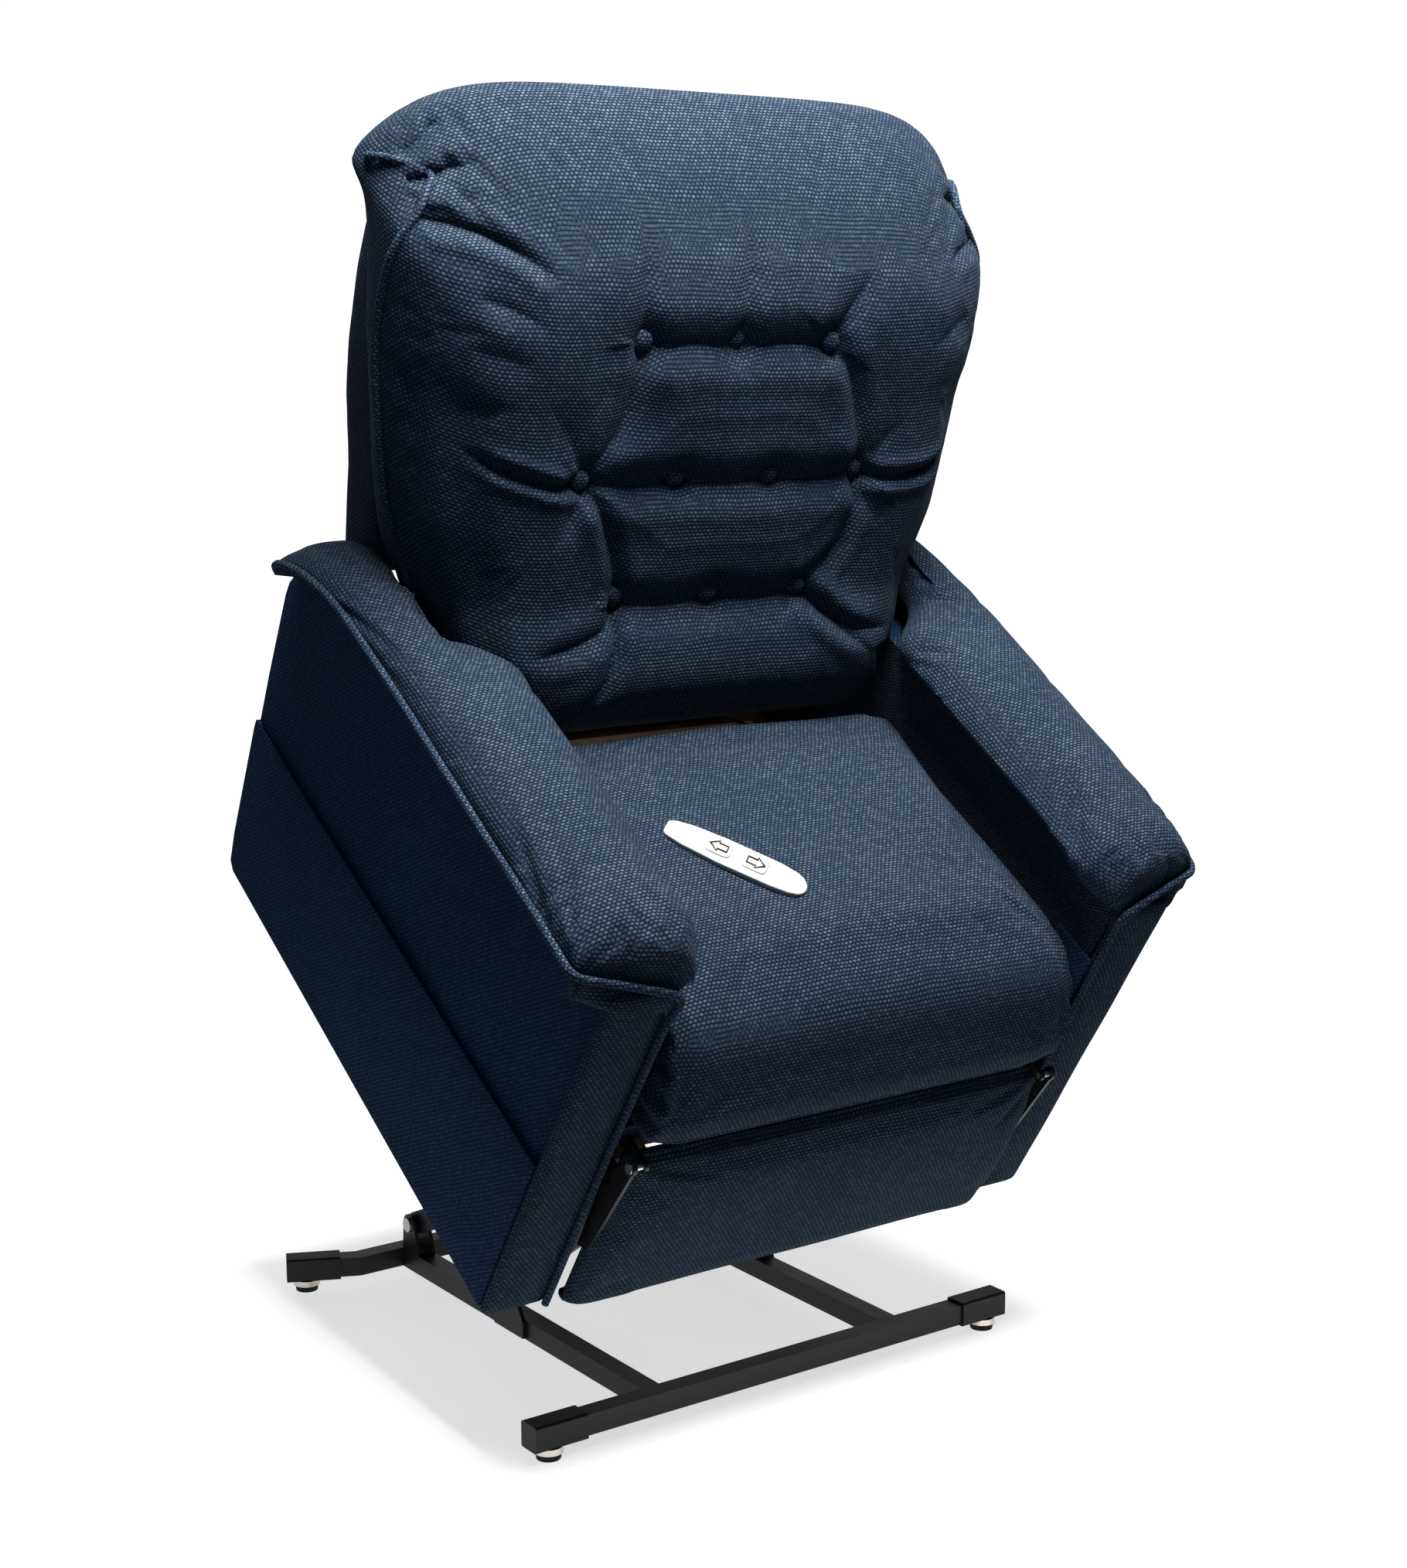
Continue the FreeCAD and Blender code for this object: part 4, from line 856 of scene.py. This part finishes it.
def make_front_panel(side, name):
    """Tall padded strip closing the front of the arm: rounded outer corner, seam beside the welt."""
    rings = []
    section = [(0.3125, 0.0035), (0.3125, -0.0040), (0.3145, -0.0062), (0.3225, -0.0066), (0.3255, -0.0052),
               (0.3285, -0.0072), (0.3400, -0.0108), (0.3600, -0.0122), (0.3800, -0.0110), (0.3900, -0.0082),
               (0.3958, -0.0030), (0.3968, 0.0010), (0.3955, 0.0035)]
    for z in np.linspace(-0.0055, 0.4820, 66):
        near = min(z + 0.0055, 0.4820 - z)
        full = 1 - math.exp(-max(near, 0.0) / 0.008)
        wave = 0.0006 * math.sin(z * 33 + side)
        ring = []
        for x, y in section:
            bulge = (y + 0.006) * full + wave * full if y < -0.006 else 0.0
            ring.append((side * x, (max(y, -0.006) if y < -0.006 else y) + bulge, z))
        rings.append(ring)
    panel = loft(name, rings)
    subdivide(panel)
    return dress(panel, "navy_fabric", "carriage", "navy_fabric", name)


def make_valance():
    """Fabric board across the back between the arms, drawn along x and turned into place."""
    columns = [(x, 0.033, 0.329) for x in np.linspace(-0.3415, 0.3415, 60)]
    board = slab("rear_valance_cover", columns, 0.7130, 0.7035, puff=0.0018)
    p = get_points(board)
    set_points(board, p[:, [1, 0, 2]])
    board.data.flip_normals()
    return dress(board, "navy_fabric", "carriage", "navy_fabric", "rear_valance")


# ---------------------------------------------------------------- back
BACK_FRONT = [(0.455, 0.405), (0.443, 0.426), (0.445, 0.454), (0.465, 0.500), (0.486, 0.537), (0.508, 0.572),
              (0.531, 0.640), (0.556, 0.711), (0.583, 0.780), (0.608, 0.850), (0.646, 0.918), (0.694, 0.980),
              (0.747, 1.027), (0.800, 1.051), (0.836, 1.048), (0.857, 1.026), (0.860, 0.992), (0.843, 0.962)]
BACK_REAR = [(0.564, 0.408), (0.584, 0.440), (0.610, 0.470), (0.652, 0.520), (0.697, 0.600), (0.735, 0.700),
             (0.772, 0.800), (0.808, 0.886), (0.838, 0.958)]
BACK_WIDTH = [(0.40, 0.292), (0.44, 0.295), (0.47, 0.303), (0.50, 0.326), (0.56, 0.343), (0.60, 0.358),
              (0.66, 0.378), (0.76, 0.392), (0.86, 0.402), (0.95, 0.411), (1.06, 0.411)]
BACK_RING = [(0, 0), (0.38, 0.002), (0.64, 0.010), (0.80, 0.030), (0.895, 0.070), (0.955, 0.130),
             (0.985, 0.210), (1.0, 0.34), (1.0, 0.50), (0.985, 0.72), (0.955, 0.88), (0.90, 0.975),
             (0.75, 1.0), (0.45, 1.0), (0, 1.0)]
HEAD_DROP = 0.048


def back_width(z):
    return np.interp(z, [p[0] for p in BACK_WIDTH], [p[1] for p in BACK_WIDTH])


def head_arch(x, z):
    """How far the head roll falls away towards its two ends."""
    return HEAD_DROP * (np.abs(x) / 0.386) ** 6.5 * smooth_step(z, 0.90, 1.04)


def clear_of_arms(p, margin=0.002):
    """Hold the lower back off the arms and their pads."""
    x = np.abs(p[:, 0])
    low = smooth_step(-p[:, 2], -0.500, -0.484)
    pad = smooth_step(-p[:, 2], -0.580, -0.556)
    edge = np.interp(p[:, 1], (0.440, 0.520), (0.268, 0.342))
    beside = np.where(p[:, 1] < 0.601, 0.311, 0.341)
    limit = np.minimum(1.0 + 0 * x, np.where(pad > 0.01, edge + (0.5 - edge) * (1 - pad), 1.0))
    limit = np.minimum(limit, np.where(low > 0.01, beside + (0.5 - beside) * (1 - low), 1.0))
    p[:, 0] = np.sign(p[:, 0]) * np.minimum(x, limit - margin)
    return p


# Lines on the front of the back: depth, width, fade in and out along the line, then its path as (x, z).
PULLS = [
    (0.0095, 0.0105, (0.1, 0.1),
     ((-0.150, 0.853), (-0.066, 0.859), (0, 0.856), (0.066, 0.859), (0.150, 0.853))),
    (0.0105, 0.01, (0.02, 0.02),
     ((-0.198, 0.714), (-0.130, 0.708), (-0.066, 0.711), (0, 0.708), (0.066, 0.711), (0.130, 0.708),
      (0.198, 0.714))),
    (0.0085, 0.01, (0.02, 0.02),
     ((-0.131, 0.578), (-0.066, 0.572), (0, 0.576), (0.066, 0.572), (0.131, 0.578))),
    (0.008, 0.007, (0.02, 0.02),
     ((0.133, 0.858), (0.160, 0.832), (0.179, 0.790), (0.190, 0.745), (0.198, 0.712))),
    (0.0065, 0.008, (0.02, 0.02),
     ((-0.132, 0.858), (-0.142, 0.815), (-0.152, 0.775), (-0.176, 0.745), (-0.198, 0.713))),
    (0.0085, 0.0065, (0.02, 0.02),
     ((0.198, 0.712), (0.196, 0.675), (0.181, 0.630), (0.155, 0.602), (0.131, 0.580))),
    (0.0085, 0.006, (0.02, 0.02),
     ((-0.198, 0.713), (-0.180, 0.694), (-0.157, 0.656), (-0.141, 0.618), (-0.131, 0.580))),
]
FOLDS = [
    (0.014, 0.0042, (0.03, 0.35),
     ((-0.198, 0.712), (-0.232, 0.710), (-0.285, 0.722), (-0.318, 0.731), (-0.352, 0.742))),
    (0.014, 0.0045, (0.03, 0.15),
     ((0.198, 0.712), (0.243, 0.708), (0.300, 0.712), (0.352, 0.727))),
    (0.008, 0.006, (0.03, 0.4),
     ((-0.131, 0.579), (-0.148, 0.556), (-0.190, 0.540), (-0.262, 0.527))),
    (0.01, 0.006, (0.03, 0.3),
     ((-0.131, 0.579), (-0.137, 0.540), (-0.150, 0.498), (-0.162, 0.466))),
    (0.011, 0.006, (0.03, 0.4),
     ((0.131, 0.581), (0.166, 0.556), (0.213, 0.537), (0.282, 0.531))),
    (0.009, 0.0065, (0.03, 0.4),
     ((0.131, 0.581), (0.182, 0.545), (0.256, 0.498))),
    (0.008, 0.011, (0.02, 0.5),
     ((-0.132, 0.860), (-0.136, 0.905), (-0.128, 0.944), (-0.132, 0.975))),
    (0.008, 0.011, (0.02, 0.5),
     ((0, 0.860), (0.004, 0.905), (0.012, 0.946), (0.004, 0.980))),
    (0.008, 0.011, (0.02, 0.5),
     ((0.132, 0.860), (0.150, 0.890), (0.180, 0.926), (0.172, 0.952))),
    (0.006, 0.008, (0.03, 0.6),
     ((-0.198, 0.712), (-0.213, 0.672), (-0.232, 0.640))),
    (0.006, 0.008, (0.03, 0.6),
     ((0.198, 0.712), (0.216, 0.676), (0.240, 0.650))),
    (0.005, 0.012, (0.03, 0.6),
     ((-0.198, 0.714), (-0.222, 0.760), (-0.262, 0.800))),
    (0.005, 0.012, (0.03, 0.6),
     ((0.198, 0.714), (0.226, 0.750), (0.262, 0.782))),
    (0.006, 0.0085, (0.2, 0.6),
     ((-0.345, 0.895), (-0.302, 0.888), (-0.248, 0.866))),
    (0.004, 0.01, (0.2, 0.6),
     ((-0.352, 0.845), (-0.310, 0.842), (-0.262, 0.828))),
    (0.005, 0.0095, (0.1, 0.6),
     ((0.352, 0.880), (0.312, 0.868), (0.275, 0.846))),
]
GATHERS = [
    (0.013, 0.0052, (0.02, 0.45),
     ((-0.386, 0.962), (-0.345, 0.958), (-0.292, 0.940), (-0.240, 0.912))),
    (0.011, 0.0048, (0.02, 0.5),
     ((-0.386, 0.992), (-0.352, 1.004), (-0.312, 1.010))),
    (0.009, 0.0042, (0.02, 0.5),
     ((-0.386, 1.015), (-0.358, 1.032), (-0.322, 1.043))),
    (0.006, 0.004, (0.02, 0.5),
     ((-0.384, 1.034), (-0.358, 1.050), (-0.330, 1.060))),
    (0.008, 0.0052, (0.02, 0.5),
     ((0.386, 0.955), (0.352, 0.950), (0.312, 0.934))),
    (0.008, 0.0048, (0.02, 0.5),
     ((0.386, 0.986), (0.356, 0.996), (0.324, 1.002))),
    (0.006, 0.0042, (0.02, 0.5),
     ((0.386, 1.010), (0.360, 1.024), (0.330, 1.034))),
]
BUTTONS = [(x, 0.856) for x in (-0.132, 0, 0.132)] + [(x, 0.711) for x in (-0.198, -0.066, 0.066, 0.198)] + [
    (x, 0.578) for x in (-0.131, 0, 0.131)]


def back_relief(p, n):
    """Inward depth over the front of the back: tufting, folds, gathers, buttons and the pillows between."""
    flat = p[:, [0, 2]].copy()
    flat[:, 1] += head_arch(p[:, 0], p[:, 2] + 0.02)
    facing = smooth_step(n @ LEAN_OUT, 0.10, 0.55)
    near = np.full(len(p), 1e9)
    depth = np.zeros(len(p))
    for deep, wide, fade, path in PULLS:
        distance, _, _ = line_distance(flat, curve_points(path, 24))
        near = np.minimum(near, distance)
        depth += crease(flat, path, deep, wide, fade)
    for deep, wide, fade, path in FOLDS:
        depth += crease(flat, path, deep, wide, fade)
    middle = np.exp(-(flat[:, 0] / 0.30) ** 6) * smooth_step(flat[:, 1], 0.44, 0.52) * (
        1 - smooth_step(flat[:, 1], 0.95, 1.02))
    depth -= 0.0105 * (1 - np.exp(-(near / 0.052) ** 1.8)) * middle
    depth += 0.010 * np.exp(-((flat[:, 1] - 0.955) / 0.040) ** 2) * np.exp(-(flat[:, 0] / 0.33) ** 4)
    for x, z in BUTTONS:
        distance = np.hypot(flat[:, 0] - x, flat[:, 1] - z)
        depth += 0.010 * np.exp(-(distance / 0.020) ** 2)
    depth -= 0.0015 * np.sin(flat[:, 0] * 27 + 0.5) * np.sin(flat[:, 1] * 21)
    depth *= facing
    reach = smooth_step(n @ LEAN_OUT, -0.35, 0.25)
    for deep, wide, fade, path in GATHERS:
        depth += crease(flat, path, deep, wide, fade) * reach
    return depth


def make_back():
    """Back cushion: one crowned form rolled over at the head, tufted with ten buttons."""
    count = 64
    front = curve_points(BACK_FRONT, count)
    rear = curve_points(BACK_REAR, count)
    half = curve_points(BACK_RING, 44)
    ring_shape = np.vstack([half, np.stack([-half[-2:0:-1, 0], half[-2:0:-1, 1]], axis=1)])
    rings = []
    for i, (f, b) in enumerate(zip(front, rear)):
        t = i / (count - 1)
        wide = back_width(f[1]) * (1 - 0.05 * smooth_step(np.array(t), 0.90, 1.0))
        ring = []
        for u, s in ring_shape:
            y, z = f + (b - f) * s
            x = wide * u
            ring.append((x, y, z - head_arch(x, z)))
        rings.append(ring)
    back = loft("back_cushion_cover", rings)
    remesh(back, 0.006)
    swell(back, 0.014, 4.0, stay=lambda p: smooth_step(p[:, 1] - np.interp(
        p[:, 2], [q[1] for q in BACK_REAR], [q[0] for q in BACK_REAR]), -0.05, 0.0))
    set_points(back, clear_of_arms(get_points(back)))
    subdivide(back)
    p = get_points(back)
    p -= LEAN_OUT * back_relief(p, get_normals(back))[:, None]
    set_points(back, clear_of_arms(p))
    dress(back, "navy_fabric", "back", "navy_fabric", "back_cushion", fill=0.75)
    return back


def search_tree(obj):
    """Fast ray lookup on a finished piece, in its own coordinates."""
    bm = bmesh.new()
    bm.from_mesh(obj.data)
    tree = BVHTree.FromBMesh(bm)
    bm.free()
    return tree


BUTTON_SIDES = 28


def make_buttons(tree):
    """Covered buttons, domed and pulled into the dimples."""
    vertices, faces = [], []
    profile = [(0.0, 0.0088), (0.0042, 0.0085), (0.0078, 0.0074), (0.0106, 0.0054), (0.0122, 0.0028),
               (0.0125, 0.0002), (0.0112, -0.0018), (0.0, -0.0024)]
    out = Vector(LEAN_OUT)
    right = Vector((1, 0, 0))
    up = out.cross(right) * -1
    for x, z in BUTTONS:
        base, _, _, _ = tree.ray_cast(Vector((x, 0.3, z)), Vector((0, 1, 0)))
        first = len(vertices)
        for r, h in profile:
            for k in range(BUTTON_SIDES):
                a = 2 * math.pi * k / BUTTON_SIDES
                pucker = 1 + 0.05 * math.cos(7 * a) * (r > 0.008)
                around = right * math.cos(a) + up * math.sin(a)
                vertices.append(base + out * (h + 0.0018) + around * r * pucker)
        for start in range(first, len(vertices) - BUTTON_SIDES, BUTTON_SIDES):
            for k in range(BUTTON_SIDES):
                a, b = start + k, start + (k + 1) % BUTTON_SIDES
                faces.append((a, b, b + BUTTON_SIDES, a + BUTTON_SIDES))
    buttons = mesh_object("back_button_covers", vertices, faces)
    clean = bmesh.new()
    clean.from_mesh(buttons.data)
    bmesh.ops.remove_doubles(clean, verts=clean.verts, dist=1e-6)
    bmesh.ops.recalc_face_normals(clean, faces=clean.faces)
    clean.to_mesh(buttons.data)
    clean.free()
    return dress(buttons, "navy_welt", "back", "navy_fabric", "back_buttons")


SHELL_FRONT = [(0.693, 0.488), (0.703, 0.600), (0.740, 0.700), (0.778, 0.800), (0.812, 0.880), (0.843, 0.951),
               (0.866, 0.975)]
SHELL_REAR = [(0.776, 0.468), (0.806, 0.542), (0.834, 0.630), (0.861, 0.719), (0.884, 0.795), (0.902, 0.870),
              (0.911, 0.925), (0.906, 0.956), (0.892, 0.974)]
SHELL_WIDTH = [(0.46, 0.336), (0.58, 0.342), (0.66, 0.354), (0.72, 0.358), (0.80, 0.356), (0.88, 0.348),
               (0.98, 0.338)]
SHELL_RING = [(0, 0), (0.5, 0.0), (0.93, 0.01), (0.985, 0.06), (1.0, 0.20), (1.0, 0.50), (0.995, 0.74),
              (0.975, 0.90), (0.93, 0.975), (0.80, 1.0), (0.40, 1.01), (0, 1.012)]


def shell_width(z):
    return np.interp(z, [p[0] for p in SHELL_WIDTH], [p[1] for p in SHELL_WIDTH])


def make_outer_back():
    """Fabric-covered outside back behind the cushion."""
    count = 60
    front = curve_points(SHELL_FRONT, count)
    rear = curve_points(SHELL_REAR, count)
    half = curve_points(SHELL_RING, 40)
    ring_shape = np.vstack([half, np.stack([-half[-2:0:-1, 0], half[-2:0:-1, 1]], axis=1)])
    rings = []
    for f, b in zip(front, rear):
        wide = shell_width(0.5 * (f[1] + b[1]))
        ring = []
        for u, s in ring_shape:
            y, z = f + (b - f) * s
            x = wide * u
            drop = 0.034 * (abs(x) / 0.38) ** 4 * float(smooth_step(np.array(z), 0.86, 0.97))
            ring.append((x, y, z - drop))
        rings.append(ring)
    shell = loft("outer_back_cover", rings)
    remesh(shell, 0.006)
    subdivide(shell)
    p = get_points(shell)
    n = get_normals(shell)
    rear_face = smooth_step(n[:, 1], 0.3, 0.8)
    soft = 0.0018 * np.sin(p[:, 0] * 13 + 0.4) * np.sin(p[:, 2] * 11 + 1.0) * rear_face
    groove = 0.003 * np.exp(-((np.abs(p[:, 0]) - shell_width(p[:, 2]) + 0.030) / 0.004) ** 2) * rear_face
    p += n * (soft - groove)[:, None]
    set_points(shell, p)
    return dress(shell, "navy_fabric", "back", "navy_fabric", "outer_back_shell")


SIDE_SEAM = [(0.590, 0.500), (0.606, 0.560), (0.637, 0.629), (0.663, 0.705), (0.694, 0.793), (0.704, 0.856),
             (0.708, 0.906), (0.715, 0.942), (0.728, 0.962), (0.751, 0.974), (0.784, 0.972), (0.812, 0.960)]


def make_back_welt(tree):
    """Piping up both side seams of the cushion, over the corners and across the top of the outside back."""
    runs = []
    for side in (-1, 1):
        run = []
        for y, z in SIDE_SEAM:
            hit, _, _, _ = tree.ray_cast(Vector((side * 0.6, y, z)), Vector((-side, 0, 0)))
            x = abs(hit.x) if hit else 0.366
            run.append((side * (x + 0.0032), y, z))
        run.append((side * 0.356, 0.851, 0.944))
        run.append((side * 0.345, 0.884, 0.945))
        runs.append(run)
    top = [(-0.318, 0.893, 0.954), (-0.240, 0.894, 0.968), (-0.120, 0.894, 0.974), (0.0, 0.894, 0.976),
           (0.120, 0.894, 0.974), (0.240, 0.894, 0.968), (0.318, 0.893, 0.954)]
    path = curve_points(runs[0] + top + runs[1][::-1], 180)
    cord = make_curve("back_welt", path, WELT_RADIUS)
    return dress(cord, "navy_welt", "back", "navy_fabric")


# ---------------------------------------------------------------- handset and lead
HANDSET_TURN = math.radians(132.0)
HANDSET = SEATED @ Matrix.Translation((-0.103, 0.193, 0.430)) @ Matrix.Rotation(HANDSET_TURN, 4, "Z")


def handset_ring(x, half_width, low, high, squareness=4.0, sides=48):
    ring = []
    for k in range(sides):
        a = 2 * math.pi * k / sides
        c, s = math.cos(a), math.sin(a)
        y = half_width * math.copysign(abs(c) ** (2 / squareness), c)
        z = (low + high) / 2 + (high - low) / 2 * math.copysign(abs(s) ** (2 / squareness), s)
        ring.append((x, y, z))
    return ring


def handset_outline(x):
    """Half width of the handset along its length: blunt at the free end, tapering to the lead."""
    t = (x + 0.086) / 0.172
    return float(np.interp(t, (0, 0.01, 0.04, 0.10, 0.22, 0.60, 0.85, 0.96, 0.99, 1.0),
                           (0.004, 0.010, 0.0170, 0.0215, 0.0245, 0.0250, 0.0215, 0.0165, 0.0130, 0.0100)))


def make_handset():
    parts = []
    for name, low, high, grow, material, slot, node in (
            ("handset_case_cover", 0.0004, 0.0148, 0.0, "grey_plastic", "grey_plastic", "handset_case"),
            ("handset_top_cover", 0.0152, 0.0240, -0.0006, "white_plastic", "white_plastic", "handset_top")):
        rings = []
        for x in np.linspace(-0.0858, 0.0858, 90):
            full = handset_outline(x) + grow
            t = (x + 0.086) / 0.172
            rise = float(np.interp(t, (0, 0.06, 0.2, 0.8, 0.95, 1), (0.62, 0.90, 1.0, 1.0, 0.93, 0.80)))
            top = low + (high - low) * rise if high > 0.02 else high
            bottom = low + (0.006 * (1 - rise) if low < 0.01 else 0.0)
            rings.append(handset_ring(x, full, bottom, top, 5.0 if high > 0.02 else 4.0))
        case = loft(name, rings, HANDSET)
        parts.append(dress(case, material, "carriage", slot, node))
    return parts


ARROW = [(0.0110, 0.0), (0.0012, 0.0098), (0.0012, 0.0056), (-0.0098, 0.0056), (-0.0098, -0.0056),
         (0.0012, -0.0056), (0.0012, -0.0098)]


KEY_HALF = (0.0150, 0.0140)
ARROW_HEIGHT = 0.0259
ARROW_RADIUS = 0.0012


def make_key(name, x, point_sign):
    """Rounded membrane key with the outline of an arrow printed on it."""
    rings = []
    for z, grow in ((0.0187, 0.0), (0.0244, 0.0), (0.0251, -0.0004), (0.0255, -0.0012)):
        rings.append([(x + (KEY_HALF[0] + grow) * math.copysign(abs(math.cos(a)) ** 0.4, math.cos(a)),
                       (KEY_HALF[1] + grow) * math.copysign(abs(math.sin(a)) ** 0.4, math.sin(a)), z)
                      for a in np.linspace(0, 2 * math.pi, 48, endpoint=False)])
    key = loft(name + "_cap", rings, HANDSET)
    dress(key, "white_plastic", name, "white_plastic", name)
    outline = [(x + point_sign * u, v, ARROW_HEIGHT) for u, v in ARROW]
    arrow = make_curve(name + "_arrow", outline, ARROW_RADIUS, kind="POLY", round_steps=2, matrix=HANDSET)
    dress(arrow, "print_black", name, "black_plastic")


LEAD_POINTS = [(-0.1720, 0.2697, 0.4375), (-0.2050, 0.3180, 0.4350), (-0.2620, 0.3520, 0.4365),
               (-0.2990, 0.3800, 0.4240), (-0.2990, 0.3970, 0.3680), (-0.2890, 0.4280, 0.3180),
               (-0.2580, 0.4490, 0.2840), (-0.2020, 0.4530, 0.2670), (-0.1380, 0.4470, 0.2660),
               (-0.0740, 0.4510, 0.2660), (-0.0080, 0.4460, 0.2660), (0.0580, 0.4500, 0.2660),
               (0.1220, 0.4470, 0.2660), (0.1840, 0.4530, 0.2660), (0.2360, 0.4800, 0.2660),
               (0.2670, 0.5300, 0.2660), (0.2630, 0.5880, 0.2660), (0.2260, 0.6240, 0.2660),
               (0.1660, 0.6310, 0.2660), (0.1020, 0.6270, 0.2660), (0.0380, 0.6310, 0.2660),
               (-0.0260, 0.6280, 0.2665), (-0.0840, 0.6140, 0.2680), (-0.1300, 0.5860, 0.2380),
               (-0.1300, 0.5860, 0.2000)]
LEAD_RADIUS = 0.0025


def make_boot():
    """Tapered, ribbed rubber boot where the lead leaves the handset."""
    path = [Vector(p) for p in curve_points(LEAD_POINTS[:4], 200)]
    rings, gone = [], 0.0
    for here, ahead in zip(path, path[1:]):
        gone += (ahead - here).length
        if gone > 0.058:
            break
        along = (ahead - here).normalized()
        across = along.cross(Vector((0, 0, 1))).normalized()
        up = across.cross(along)
        radius = 0.0056 - 0.0024 * gone / 0.058 + 0.00035 * math.sin(gone * 1500)
        rings.append([tuple(here + radius * (math.cos(a) * across + math.sin(a) * up))
                      for a in np.linspace(0, 2 * math.pi, 20, endpoint=False)])
    boot = loft("lead_boot_cover", rings)
    return dress(boot, "cord_rubber", "carriage", "black_plastic")


def make_lead():
    """Handset lead: over the seat, down beside it, then along the seat frame to the supply box."""
    lead = make_curve("handset_lead_cord", LEAD_POINTS, LEAD_RADIUS, round_steps=4, length_steps=16)
    dress(lead, "cord_rubber", "carriage", "cord_rubber", "handset_lead")


# ---------------------------------------------------------------- floor and the frame's own nodes
def make_floor():
    """Pale studio floor that melts into the backdrop away from the chair."""
    s = Shader("studio_floor")
    place = s.place()
    tone = s.noise(place, 1.2, 3.0)
    length = s.node("ShaderNodeVectorMath", operation="LENGTH")
    s.link(place, length.inputs[0])
    s.surface(Base_Color=s.mix(tone, (0.62, 0.625, 0.63, 1), (0.66, 0.66, 0.66, 1)),
              Roughness=s.spread(s.noise(place, 60.0, 4.0), 0.60, 0.72), Specular_IOR_Level=0.1,
              Emission_Color=(1.0, 1.0, 1.0, 1), Emission_Strength=0.68,
              Alpha=s.spread(length.outputs["Value"], 1.0, 0.0, 0.45, 1.12, "SMOOTHSTEP"))
    mesh = bpy.data.meshes.new("studio_floor")
    half = 1.6
    corners = [(-half, -half, 0), (half, -half, 0), (half, half, 0), (-half, half, 0)]
    mesh.from_pydata(corners, [], [(0, 1, 2, 3)])
    mesh.materials.append(s.material)
    place_object("studio_floor", mesh, Matrix())


def finish_frame_nodes():
    """Give every CAD node its material from its slot in the record."""
    for part in frame["record"]["subparts"]:
        node = frame["nodes"][part["node"]]
        node.data.materials.clear()
        node.data.materials.append(MATERIALS[part["material_slot"]])


MATERIALS = make_materials()
make_camera()
make_studio()
make_lead()
finish_frame_nodes()
make_seat()
make_leg_rest()
make_leg_rest_edge()
for hand, sign in (("right", -1), ("left", 1)):
    make_arm_pad(sign, f"arm_pad_cover_{hand}")
    make_arm_welt(sign, f"arm_welt_{hand}")
    band = join(f"arm_band_{hand}", [make_arm_band(sign, "side_band"), make_front_band(sign, "front_band")])
    dress(band, "navy_fabric", "carriage", "navy_fabric")
    make_arm_side(sign, f"arm_side_panel_{hand}")
    make_front_panel(sign, f"arm_front_panel_{hand}")
    make_arm_deck(sign, f"arm_deck_{hand}")
    make_seat_side_slot_shade(sign, f"seat_side_slot_shade_{hand}")
make_seat_front_slot_shade()
make_pockets()
make_valance()
back_tree = search_tree(make_back())
make_buttons(back_tree)
make_outer_back()
make_back_welt(back_tree)
make_handset()
make_boot()
make_key("up_button", 0.022, 1)
make_key("down_button", -0.022, -1)
make_floor()
